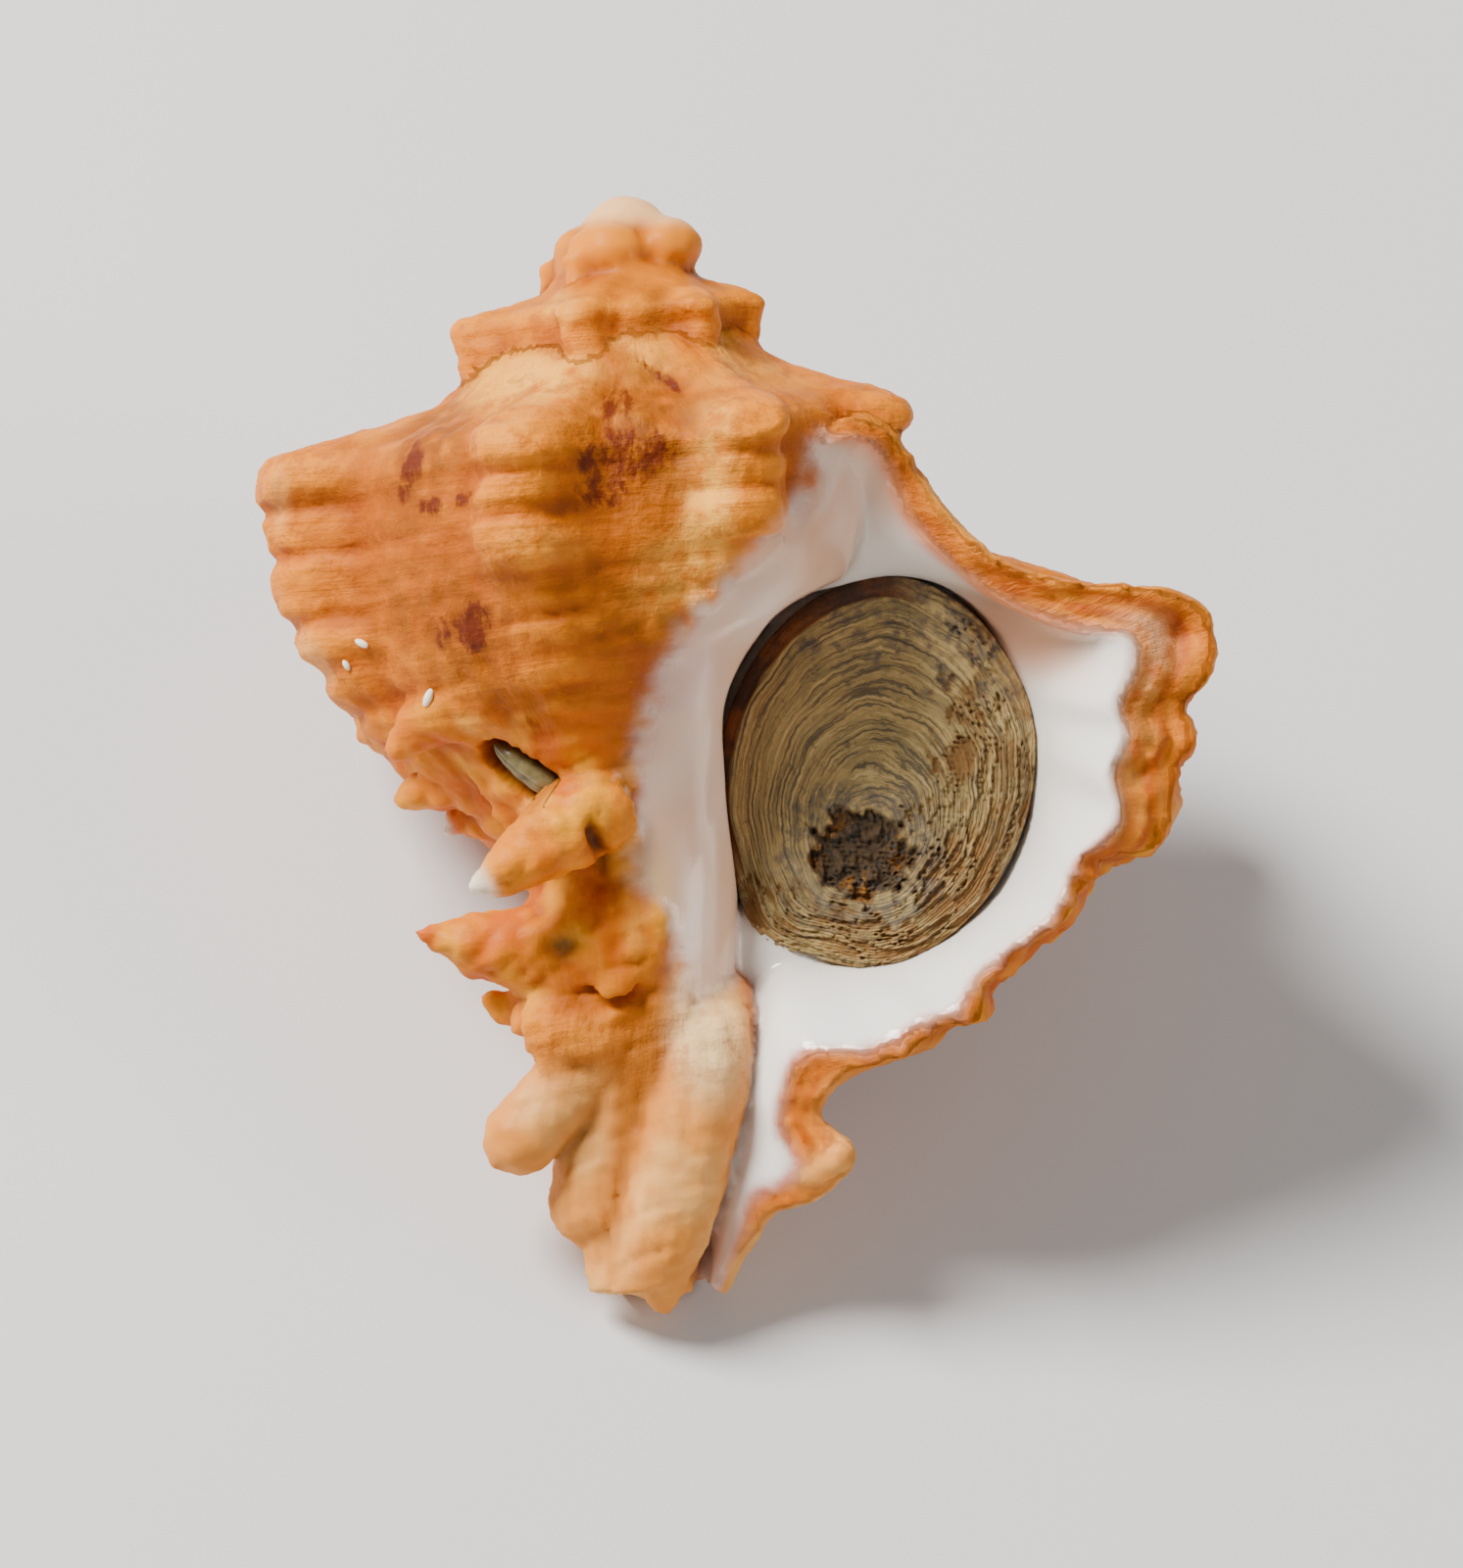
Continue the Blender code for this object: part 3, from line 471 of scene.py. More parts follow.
def band(columns, outer_rows, face_rows):
    """Wall of the last whorl, from the solid core to the lip, as one folded sheet.

    Rows run out along the outside to the lip edge, over the layered rim face and back inside. Each
    point is marked with its fold, its distance from the lip in mm and its share of the way round.
    """
    share = np.linspace(0, 1, columns)
    edge, rim, throat = (on_photo(smooth_curve(share, table)) for table in (LIP_EDGE, INNER_RIM, THROAT))

    def polar(points):
        r = np.hypot(points[:, 0], points[:, 2])
        return np.arctan2(points[:, 2], points[:, 0]) / (2 * np.pi), r, points[:, 1]

    def placed(turn, r, y):
        angle = 2 * np.pi * turn
        return np.stack([r * np.cos(angle), y, r * np.sin(angle)], axis=-1)

    def laid(row, fold, distance):
        rows.append(row)
        marks.append(np.stack(np.broadcast_arrays(fold, distance, share, 0.0), axis=1))

    edge_turn, edge_r, edge_y = polar(edge)
    throat_turn, throat_r, throat_y = polar(throat)
    rows = []
    marks = []
    for t in np.linspace(0, 1, outer_rows):
        turn = WALL_START + t * (edge_turn - WALL_START)
        r, y = band_outside(turn, share)
        r = r * (0.88 + 0.12 * smooth_step((turn - WALL_START) / 0.08))
        near = smooth_step(1 + (turn - edge_turn) / LIP_BLEND)
        row = placed(turn, r + near * (edge_r - r), y + near * (edge_y - y))
        row[:, 0] -= lean(row[:, 1]) * (1 - near)
        laid(row, 0.0, np.minimum(30.0, (edge_turn - turn) * 2 * np.pi * r))
    width = np.linalg.norm(rim - edge, axis=1)
    for w in np.linspace(0, 1, face_rows + 1)[1:-1]:
        row = edge + (rim - edge) * w
        wave = 0.35 * np.sin(75 * share) + 0.25 * np.sin(31 * share + 2)
        layers = 1 - np.abs(np.sin(np.pi * (3.2 * w + 0.6 * wave)))
        row[:, 2] += np.minimum(width, 5.5) * (0.11 * layers - 0.10) * np.sin(np.pi * w) ** 0.5
        hollow = bell((share - 0.41) / 0.018) * bell((w - 0.38) / 0.2)
        row[:, 2] -= 2.0 * hollow
        laid(row, 0.4 + 0.2 * w, 0.0)
    steps = 24
    teeth = lip_teeth(share, 2)
    laid(rim, 0.6, 0.0)
    slope = np.linalg.norm(throat - rim, axis=1)
    for t in np.linspace(0, 1, steps + 1)[1:]:
        row = rim + (throat - rim) * smooth_step(t) * 0.35 + (throat - rim) * t * 0.65
        row[:, 2] += np.sin(np.pi * t) * 0.6 + 0.45 * teeth * bell((t * slope - 1.3) / 0.9)
        laid(row, 1.0, t * slope)
    inner_rows = len(rows) - 2 * steps
    for t in np.linspace(0, 1, inner_rows)[1:]:
        turn = throat_turn + t * (WALL_START + 0.02 - throat_turn)
        r, y = band_inside(turn, share)
        far = smooth_step((throat_turn - turn) / (0.12 - 0.10 * smooth_step((share - 0.78) / 0.06)))
        laid(placed(turn, throat_r + far * (r - throat_r), throat_y + far * (y - throat_y)), 1.0, 20.0)
    rows = np.stack(rows)
    count = len(rows)
    index = np.arange(count * columns).reshape(count, columns)
    i = np.arange((count - 1) // 2)
    across = np.stack([i, i + 1, count - 2 - i, count - 1 - i], axis=-1)
    side = index[across, 0]
    far = index[across[:, ::-1], -1]
    root = np.stack([index[0, 1:], index[0, :-1], index[-1, :-1], index[-1, 1:]], axis=-1)
    quads = np.concatenate([grid_faces(count, columns, False), side, far, root])
    faces = [[n for k, n in enumerate(quad) if n != quad[k - 1]] for quad in quads.tolist()]
    return rows.reshape(-1, 3), np.concatenate(marks), faces


def horn(number, points, radii, flat, frill):
    """Closed tube along a smooth curve through points, its radius following radii.

    Each ring lies across the curve and is flattened out of the photo's plane. The end runs out in
    a wavy frill. Each point is marked with the horn's number and its share of the way to the tip.
    """
    count = 9 * len(points)
    t = np.linspace(0, 1, count)
    table = np.column_stack([np.linspace(0, 1, len(points)), on_photo(points), radii])
    path, radius = np.split(smooth_curve(t, table), [3], axis=1)
    radius = radius[:, 0]
    if radii[-1] > 1 and not frill:
        radius = radius * np.sqrt(np.maximum(0.03, 1 - np.maximum(0, (t - 0.82) / 0.18) ** 2))
    along = np.gradient(path, axis=0)
    along /= np.linalg.norm(along, axis=1)[:, None]
    across = np.cross(along, (0.0, 0.0, 1.0))
    across /= np.linalg.norm(across, axis=1)[:, None]
    rise = np.cross(across, along)
    angle = np.linspace(0, 2 * np.pi, HORN_SIDES, endpoint=False)[None, :, None]
    ring = np.cos(angle) * across[:, None] + flat * np.sin(angle) * rise[:, None]
    rows = path[:, None] + radius[:, None, None] * ring
    wave = frill * (np.cos(3 * angle + number) + 0.5 * np.cos(5 * angle))
    rows = rows + wave * smooth_step((t - 0.7) / 0.3)[:, None, None] * along[:, None]
    marks = OUTER_MARK + (number + 0.98 * t)[:, None, None] * (0.0, 0.0, 0.0, 1.0)
    tip = path[-1] + along[-1] * radius[-1] * 0.8 * (1 - 1.6 * (frill > 0))
    return capped(rows, marks, path[0] - along[0] * radius[0] * 0.3, tip)


def joined(name, parts):
    """One mesh of several closed bodies, with their marks as a colour attribute."""
    offset = 0
    faces = []
    for points, marks, polygons in parts:
        faces.extend([n + offset for n in polygon] for polygon in polygons)
        offset += len(points)
    mesh = bpy.data.meshes.new(name)
    mesh.from_pydata(np.concatenate([part[0] for part in parts]).tolist(), [], faces)
    marks = mesh.color_attributes.new("growth", "FLOAT_COLOR", "POINT")
    marks.data.foreach_set("color", np.concatenate([part[1] for part in parts]).ravel())
    return mesh


def in_scene(name, data):
    """A new object of some data, in the scene."""
    item = bpy.data.objects.new(name, data)
    bpy.context.scene.collection.objects.link(item)
    return item


def evaluated(item):
    """Mesh of an object with its modifiers applied."""
    graph = bpy.context.evaluated_depsgraph_get()
    return bpy.data.meshes.new_from_object(item.evaluated_get(graph), depsgraph=graph)


bodies = [core(*CORE_GRID), band(*BAND_GRID)]
# A smooth dome over five lobes for the first whorls, and a low mass under the spines of the base
bodies.append(ball((-1.5, 77.4, 0.0), np.diag((3.15, 2.7, 2.9)), 24, OUTER_MARK))
bodies.append(ball((-2.6, 76.9, 0.4), np.diag((2.0, 1.9, 2.0)), 24, OUTER_MARK))
bodies.append(ball(on_photo((592, 962, 2.0)), np.diag((4.4, 6.6, 4.3)), 32, OUTER_MARK))
for degrees in (22, 118, 190, 255, 318):
    a = np.radians(degrees)
    lobe = (-1.3 + 3.1 * np.cos(a), 76.6 - 0.003 * degrees, 3.1 * np.sin(a))
    lobe_axes = ((2.3 * np.cos(a), 0, 2.3 * np.sin(a)), (0, 2.0, 0), (-2.8 * np.sin(a), 0, 2.8 * np.cos(a)))
    bodies.append(ball(lobe, lobe_axes, 20, OUTER_MARK))
# The space behind the operculum is never seen, so a puck of shell fills it
filler = plain_plate(1.5, 0.0, 3.0) - (0, 0, 2.6)
bodies.append(capped(filler[::-1], THROAT_MARK, filler[-1].mean(axis=0), filler[0].mean(axis=0)))
bodies.append(ball(on_photo((800, 972, -2.9)), np.diag((5.6, 4.4, 2.8)), 24, THROAT_MARK))
bodies += [horn(number + 1, *spine) for number, spine in enumerate(SPINES)]
form = in_scene("shell_form", joined("shell_form", bodies))
fuse = form.modifiers.new("fuse", "REMESH")
fuse.mode = "VOXEL"
fuse.voxel_size = VOXEL
soften = form.modifiers.new("soften", "SMOOTH")
soften.factor = 0.5
soften.iterations = 1
skin_mesh = evaluated(form)
form.modifiers.clear()
skin = in_scene("shell_skin", skin_mesh)
skin_mesh.color_attributes.new("growth", "FLOAT_COLOR", "POINT")
carry = skin.modifiers.new("carry", "DATA_TRANSFER")
carry.object = form
carry.use_vert_data = True
carry.data_types_verts = {"COLOR_VERTEX"}
carry.vert_mapping = "POLYINTERP_NEAREST"
shell_mesh = evaluated(skin)
bpy.data.objects.remove(skin)
bpy.data.objects.remove(form)


# Fine relief of the shell
# Growth lines and worn wrinkles run with the old lips, fine cords run round the whorls, and the base
# is scaly. Bare glaze is smooth. A mussel's bore and a small crack open the left of the base.
BORE_PIXEL = (540, 785, 7.4)
BORE_ALONG = np.array([0.80, -0.60, 0.0])
BORE_OUT = np.array([-0.55, -0.35, 0.76])
BORE_OUT = BORE_OUT - BORE_ALONG * BORE_OUT.dot(BORE_ALONG)
BORE_OUT /= np.linalg.norm(BORE_OUT)
BORE_SIDE = np.cross(BORE_OUT, BORE_ALONG)


def ripple(points, wavelength, seed, waves=18):
    """Smooth noise of about -1 to 1: a sum of sine waves of seeded directions and phases."""
    random = np.random.default_rng(seed)
    directions = random.normal(size=(waves, points.shape[1]))
    directions /= np.linalg.norm(directions, axis=1)[:, None]
    directions *= 2 * np.pi / wavelength * random.uniform(0.6, 1.5, (waves, 1))
    phases = random.uniform(0, 2 * np.pi, waves)
    return np.sin(points @ directions.T + phases).sum(axis=1) * (1.2 / waves) ** 0.5


def averaged(mesh, values, rounds):
    """Values of each vertex, drawn towards the mean of its neighbours over and over."""
    pairs = np.empty(len(mesh.edges) * 2, dtype=np.int32)
    mesh.edges.foreach_get("vertices", pairs)
    a, b = pairs.reshape(-1, 2).T
    share_out = 1 / np.bincount(np.concatenate([a, b]), minlength=len(values))
    smooth = values.copy()
    for step in range(rounds):
        for axis in range(values.shape[1]):
            sums = np.bincount(a, smooth[b, axis], len(values))
            sums = sums + np.bincount(b, smooth[a, axis], len(values))
            smooth[:, axis] = 0.3 * smooth[:, axis] + 0.7 * sums * share_out
    return smooth


def blob(centre, half, degrees=0.0):
    """1 in a turned oval of the photo's plane, 0 outside, with soft edges: exp(-(u^2+v^2)^2)."""
    turned = np.radians(degrees)
    dx = column - centre[0]
    dy = row - centre[1]
    u = (dx * np.cos(turned) + dy * np.sin(turned)) / half[0]
    v = (dy * np.cos(turned) - dx * np.sin(turned)) / half[1]
    return bell(u * u + v * v)


def read(items, key, width):
    """One row of numbers for each of a mesh's items."""
    values = np.empty(len(items) * width, dtype=np.float32)
    items.foreach_get(key, values)
    return values.reshape(-1, width).astype(float)


place = read(shell_mesh.vertices, "co", 3)
facing = read(shell_mesh.vertex_normals, "vector", 3)
fold, lip_distance, share, horn_mark = read(shell_mesh.color_attributes["growth"].data, "color", 4).T
x, y, z = place.T
column, row = photo_place(x, y)
azimuth = np.arctan2(z, x + lean(y))
old_place = core_turn(np.mod(azimuth, 2 * np.pi), y)[1]
new_place = azimuth / (2 * np.pi) - (azimuth / (2 * np.pi) > 0.15)
on_band = share > -0.5
turn = np.where(on_band, new_place, old_place)
radius = whorl_radius(turn)
depth = (shoulder_height(turn) - y) / radius
inside = smooth_step((fold - 0.55) / 0.05)
face = smooth_step((fold - 0.36) / 0.05) * (1 - inside)
glaze = np.maximum(inside, glaze_mask(x, y, z) * (1 - on_band) * (horn_mark < 0.5))
inside, face, glaze = averaged(shell_mesh, np.stack([inside, face, glaze], axis=1), 3).T
rough = 1 - glaze
rib = rib_mask(turn, depth) * (1 - inside)
groove = groove_mask(depth, radius) * (0.25 + 0.75 * rib)
front = smooth_step((facing[:, 2] + 0.05) / 0.3)
growth = np.stack([turn * 2 * np.pi * radius, depth * radius], axis=1)
base = smooth_step((row - 690) / 90) * smooth_step((1060 - row) / 40)
base = base * rough * smooth_step((0.9 - share) / 0.1)

lines = ripple(growth * (1.0, 0.10), 0.9, 3) * 0.5 + ripple(growth * (1.0, 0.16), 1.9, 4)
wrinkles = ripple(place, 3.2, 5) + 0.7 * ripple(place, 1.5, 6)
scales = np.abs(ripple(place, 4.2, 7)) * 1.4 - 0.5
young = 1 - smooth_step((y - 72) / 3)
push = rough * (0.045 * lines * young + 0.06 * wrinkles)
push += base * 0.19 * scales
push += base * 0.05 * ripple(place, 1.1, 10)
push += rough * 0.05 * young * ripple(growth * (0.10, 1.0), 1.3, 9)
ruff = smooth_step((7.0 - lip_distance) / 6.0) * (1 - inside) * (1 - face) * on_band
push += ruff * 0.09 * (1 - np.abs(np.sin(np.pi * (lip_distance / 1.1 + 0.15 * wrinkles))))
push += inside * 0.03 * ripple(place, 6.0, 8)
tooth = lip_teeth(share, 1) * face
bore = place - on_photo(BORE_PIXEL)
bore_length = bore @ BORE_ALONG
bore_width = bore @ BORE_SIDE
slot = (np.abs(bore_length) / 3.35) ** 2.4 + (np.abs(bore_width) / 1.55) ** 2.4
slot = smooth_step((1.35 - slot) / 0.5) * front * (np.abs(bore @ BORE_OUT) < 5)
crack = blob((612, 860), (8, 26), -18) * front
small_pit = blob((575, 965), (16, 12)) * front
push -= 0.9 * crack + 0.45 * small_pit
place += facing * push[:, None]
place += (tooth * 0.6)[:, None] * np.array((0.55, -0.75, 0.35))
place -= (slot * (2.2 + bore @ BORE_OUT))[:, None] * BORE_OUT
shell_mesh.vertices.foreach_set("co", to_world(place).astype(np.float32).ravel())


# Colours of the shell
# Carotene tints the outer layer orange, paler and pinker on worn crests, cream by the sutures and
# deep in the grooves, with maroon streaks laid down in front of the ribs. The glaze is bare porcelain
# that shades to lilac, and orange layers crop out along the lip. Painted shade darkens the hollows,
# the valley left of the pillar, the upper inside wall, the crack and the bore's slot, and a painted
# highlight lightens the bulges.
def linear(code):
    """Linear red, green and blue of an sRGB hex colour."""
    parts = np.array([int(code[n:n + 2], 16) for n in (1, 3, 5)]) / 255
    return np.where(parts <= 0.04045, parts / 12.92, ((parts + 0.055) / 1.055) ** 2.4)


def painted(colours, *layers):
    """Colours, or one for all, with each layer's hex colour laid over by its amount, 0 to 1."""
    for code, amount in layers:
        colours = colours + (linear(code) - colours) * np.clip(amount, 0, 1)[:, None]
    return colours


def strongest(*spots):
    """The strongest of several ovals of the photo's plane, on the side that faces out of it.

    A spot is its middle and half axes in pixels, its turn in degrees and its strength.
    """
    return np.max([spot[3] * blob(*spot[:3]) for spot in spots], axis=0) * front


# Depth of each point below the mean of its neighbours, used below for painted shade in hollows and a
# painted highlight on bulges
hollow = ((averaged(shell_mesh, place, 40) - place) * facing).sum(axis=1)
mottle = ripple(place, 7.0, 11)
fleck = ripple(place, 2.2, 12)
streak = ripple(growth * (1.0, 0.22), 1.6, 13)
cord = ripple(growth * (0.12, 1.0), 1.5, 14)
base_mottle = ripple(place, 4.5, 15)
small = smooth_step((17 - radius) / 5)
by_suture = (1 - rib) * bell((depth + 0.22) / 0.16) * (1 - small)
before_rib = np.max([bell((turn - rib_turn + 0.045) / 0.017) for rib_turn in RIBS], axis=0)
marked = before_rib * bell((depth - 0.08) / 0.17) * smooth_step(0.4 + 0.9 * mottle)
unseen = marked * (1 - front * (z > 0))
golden = np.maximum(0.6 * unseen, strongest(
    ((655, 445), (72, 84), 10, 1.0), ((440, 468), (36, 84), 18, 1.0), ((478, 650), (52, 50), 0, 0.9),
    ((500, 610), (90, 40), 10, 0.6), ((430, 620), (60, 50), 0, 0.6), ((640, 620), (80, 60), -20, 0.6),
    ((700, 400), (40, 22), 40, 0.8), ((545, 715), (60, 26), 10, 0.7), ((665, 325), (18, 34), 20, 0.8),
    ((628, 290), (20, 8), 0, 0.8), ((735, 290), (26, 7), 12, 0.8), ((762, 330), (6, 26), 0, 0.7),
    ((735, 590), (30, 22), -30, 0.5), ((560, 640), (30, 40), 0, 0.3),
))
maroon = np.maximum(0.75 * unseen, strongest(
    ((648, 468), (62, 48), 0, 0.82), ((630, 418), (26, 30), 0, 0.82), ((672, 385), (44, 9), 38, 0.85),
    ((600, 465), (13, 48), 0, 0.85), ((422, 485), (15, 46), 12, 0.9), ((446, 520), (22, 14), 0, 0.9),
    ((478, 512), (14, 15), 0, 0.85), ((455, 648), (13, 30), 0, 0.88), ((487, 642), (24, 36), 8, 0.98),
    ((545, 735), (34, 12), 25, 0.7), ((372, 545), (30, 12), 0, 0.4), ((420, 450), (10, 16), 30, 0.6),
    ((618, 505), (38, 28), 0, 0.84),
))
cream = strongest(
    ((548, 392), (70, 26), -8, 1.0), ((722, 520), (28, 125), 4, 1.0), ((500, 745), (34, 12), 18, 0.9),
    ((555, 560), (42, 20), 0, 0.3), ((585, 920), (20, 30), 0, 0.4), ((696, 590), (56, 40), -30, 0.85),
    ((520, 440), (28, 26), 0, 0.3), ((550, 815), (34, 22), 35, 0.55), ((575, 318), (20, 20), 0, 0.6),
    ((700, 470), (30, 60), 10, 0.5), ((650, 905), (14, 60), 0, 0.7), ((408, 425), (40, 12), -30, 0.6),
)
deep = strongest(
    ((640, 700), (60, 60), 0, 0.8), ((650, 590), (60, 50), 0, 0.6), ((575, 600), (20, 60), 0, 0.7),
    ((460, 590), (70, 60), 0, 0.5), ((390, 520), (40, 60), 10, 0.5), ((560, 760), (60, 40), 30, 0.6),
    ((1195, 640), (30, 20), 40, 0.4), ((600, 740), (40, 50), 0, 0.5),
)
worn = blob((288, 510), (10, 34)) + blob((322, 672), (34, 14), 55)
low = smooth_step((21.5 - y) / 7.0)
pillar_top = blob((722, 1050), (42, 74), -5)
finger = blob((590, 1150), (50, 90), 20)
# Painted shadow in the valley left of the pillar
valley_shadow = blob((652, 1090), (18, 110), 8)
spine = np.floor(horn_mark)
tip = 0.9 * smooth_step((horn_mark - spine - 0.80) / 0.14)
hue = painted(
    linear("#C06000"),
    ("#CE6E00", 0.5 + 0.6 * mottle),
    ("#B05A00", 0.6 * smooth_step(0.45 + fleck)),
    ("#DC7400", 0.7 * rib * smooth_step((depth + 0.25) / 0.2)),
    ("#9A3E00", 0.35 * smooth_step(cord - 0.2) * (1 - rib) + 0.6 * groove),
    ("#CE7400", 0.6 * small),
    # Painted shade: darker where the surface sinks below its neighbours
    ("#8A3600", 0.75 * smooth_step((hollow - 0.04) / 0.34)),
    # Painted highlight: lighter where the surface bulges out
    ("#E88808", 0.6 * smooth_step((-hollow - 0.03) / 0.30)),
    ("#EEA030", 0.75 * by_suture * smooth_step(0.8 + 0.6 * mottle)),
    ("#983C00", deep * (1 - 0.5 * rib) * smooth_step(0.8 + 0.5 * mottle)),
    ("#F4AA3C", cream * smooth_step(0.85 + 0.5 * fleck)),
    ("#844400", golden * (1 - 0.55 * rib) * smooth_step(0.85 + 0.7 * fleck)),
    ("#F2AC5C", 0.5 * worn * front),
    ("#E4960C", 0.8 * base * smooth_step(base_mottle - 0.1)),
    ("#BC4C00", 0.6 * base * smooth_step(-base_mottle - 0.2)),
    ("#E0903C", 0.8 * low),
    ("#EEB468", low * smooth_step(0.3 + 0.7 * mottle) * 0.6),
    ("#D07A22", low * smooth_step(fleck - 0.1) * 0.5),
    ("#F0CC90", 0.8 * pillar_top * front),
    ("#B07838", 0.45 * finger * front),
    # Painted shadow in the valley left of the pillar
    ("#A45A08", 0.8 * valley_shadow * front),
    # Painted shade in the hollows of the base
    ("#8A4A10", 0.5 * low * smooth_step(hollow / 0.4)),
    ("#F4BC80", 0.85 * smooth_step((y - 77.4) / 1.6)),
    ("#F0E4CC", tip * (spine == 3)),
    ("#F4E8D0", tip * (spine == 4)),
    ("#D05A10", tip * (spine == 5)),
    ("#D87018", tip * (spine == 1)),
)
body_glaze = (1 - inside) * glaze
feather = (0.20 * fleck + 0.12 * streak) * (1 - np.abs(2 * glaze - 1))
glaze = np.where(inside > 0.5, glaze, np.clip(glaze + feather, 0, 1))
glaze_hue = painted(
    linear("#F2ECE2"),
    ("#DCAE8E", body_glaze * (0.9 + 0.1 * mottle)),
    # Painted shadow on the upper inside wall, under the lip
    ("#D9A686", inside * blob((1040, 640), (80, 50), 25)),
    ("#DDB090", smooth_step((560 - row) / 60) * inside),
)
rim_pink = inside * smooth_step((2.4 - lip_distance) / 2.4) * smooth_step((0.40 - share) / 0.06)
edge_red = inside * smooth_step((0.9 - lip_distance) / 0.9) * smooth_step((share - 0.52) / 0.05)
past_canal = smooth_step((column - 770 + 0.35 * np.maximum(0, row - 1150)) / 16)
hue = painted(
    hue + (glaze_hue - hue) * glaze[:, None],
    ("#B08890", 0.4 * blob((700, 690), (30, 50), 30) * body_glaze),
    ("#E6B878", 0.7 * blob((672, 930), (20, 70)) * body_glaze),
    ("#E87C38", 0.9 * rim_pink),
    ("#D04A08", 0.9 * edge_red * past_canal),
)
across_face = np.clip((fold - 0.4) / 0.2, 0, 1)
bands = np.cos(2 * np.pi * (3.1 * across_face + 0.22 * np.sin(23 * share)))
amber = bell((share - 0.47) / 0.08) * bell((across_face - 0.65) / 0.25)
white_patch = bell((share - 0.40) / 0.03) * bell((across_face - 0.6) / 0.2)
rim_hue = painted(
    linear("#CA6400"),
    ("#A43A00", 0.8 * smooth_step(2 * (bands - 0.3))),
    ("#EC9020", 0.7 * smooth_step(2 * (-bands - 0.3))),
    ("#B87830", amber * smooth_step(0.6 + 0.5 * fleck)),
    ("#E0A878", 0.8 * white_patch),
)
hue = painted(
    hue + (rim_hue - hue) * face[:, None],
    ("#D8B6A4", blob((726, 1270), (15, 52), 8) * front * (horn_mark < 0.5)),
    # Painted shade: the bore's slot darkened brown
    ("#7A4214", 0.8 * slot),
    # Painted shade: the crack darkened to a deep brown
    ("#4E2608", crack),
    ("#6E5A2A", 0.7 * small_pit),
)


def write_attribute(mesh, name, values, kind="FLOAT_COLOR", key="color"):
    """Store one value a vertex as a named attribute."""
    if kind == "FLOAT_COLOR":
        values = np.concatenate([values, np.ones((len(values), 4 - values.shape[1]))], axis=1)
    attribute = mesh.attributes.new(name, kind, "POINT")
    attribute.data.foreach_set(key, values.astype(np.float32).ravel())


shell_mesh.attributes.remove(shell_mesh.attributes["growth"])
hue = averaged(shell_mesh, hue, 1)
write_attribute(shell_mesh, "hue", hue)
ridged = rough * (1 - slot) * (1 - smooth_step((y - 72) / 3)) * (1 - 0.6 * base) * (1 - 0.85 * low)
write_attribute(shell_mesh, "masks", np.stack([glaze, 0.72 * maroon * rough, ridged], axis=1))
along_lip = np.stack([share * 130, across_face * 7], axis=1)
flow = growth + (along_lip - growth) * (face > 0.5)[:, None]
flow = np.stack([flow[:, 0], flow[:, 1], radius], axis=1)
write_attribute(shell_mesh, "flow", flow, "FLOAT_VECTOR", "vector")
shell_mesh.shade_smooth()


def add(tree, kind, inputs=None, **settings):
    """Add a node, set its properties, and link its inputs or set their values."""
    node = tree.nodes.new(kind)
    for name, value in settings.items():
        setattr(node, name, value)
    for name, value in (inputs or {}).items():
        if isinstance(value, bpy.types.NodeSocket):
            tree.links.new(value, node.inputs[name])
        else:
            node.inputs[name].default_value = value
    return node


def new_material(name):
    """An empty node material with its tree and Principled shader."""
    material = bpy.data.materials.new(name)
    material.use_nodes = True
    tree = material.node_tree
    return material, tree, tree.nodes["Principled BSDF"]


def paint(code):
    """An sRGB hex colour as a shader's linear value."""
    return (*linear(code), 1.0)


def layered(tree, colour, layers):
    """A colour with layers painted over it, each where its pattern lies between two levels.

    A layer is its pattern, the levels where it starts and is full, a mask, a strength and a colour.
    """
    for pattern, start, full, mask, strength, code in layers:
        level = add(tree, "ShaderNodeMapRange", {
            "Value": pattern, "From Min": start, "From Max": full, "To Max": strength,
        }, interpolation_type="SMOOTHSTEP")
        amount = add(tree, "ShaderNodeMath", {0: level.outputs["Result"], 1: mask}, operation="MULTIPLY")
        mix = add(tree, "ShaderNodeMix", {0: amount.outputs["Value"], 6: colour, 7: paint(code)},
                  data_type="RGBA")
        colour = mix.outputs[2]
    return colour


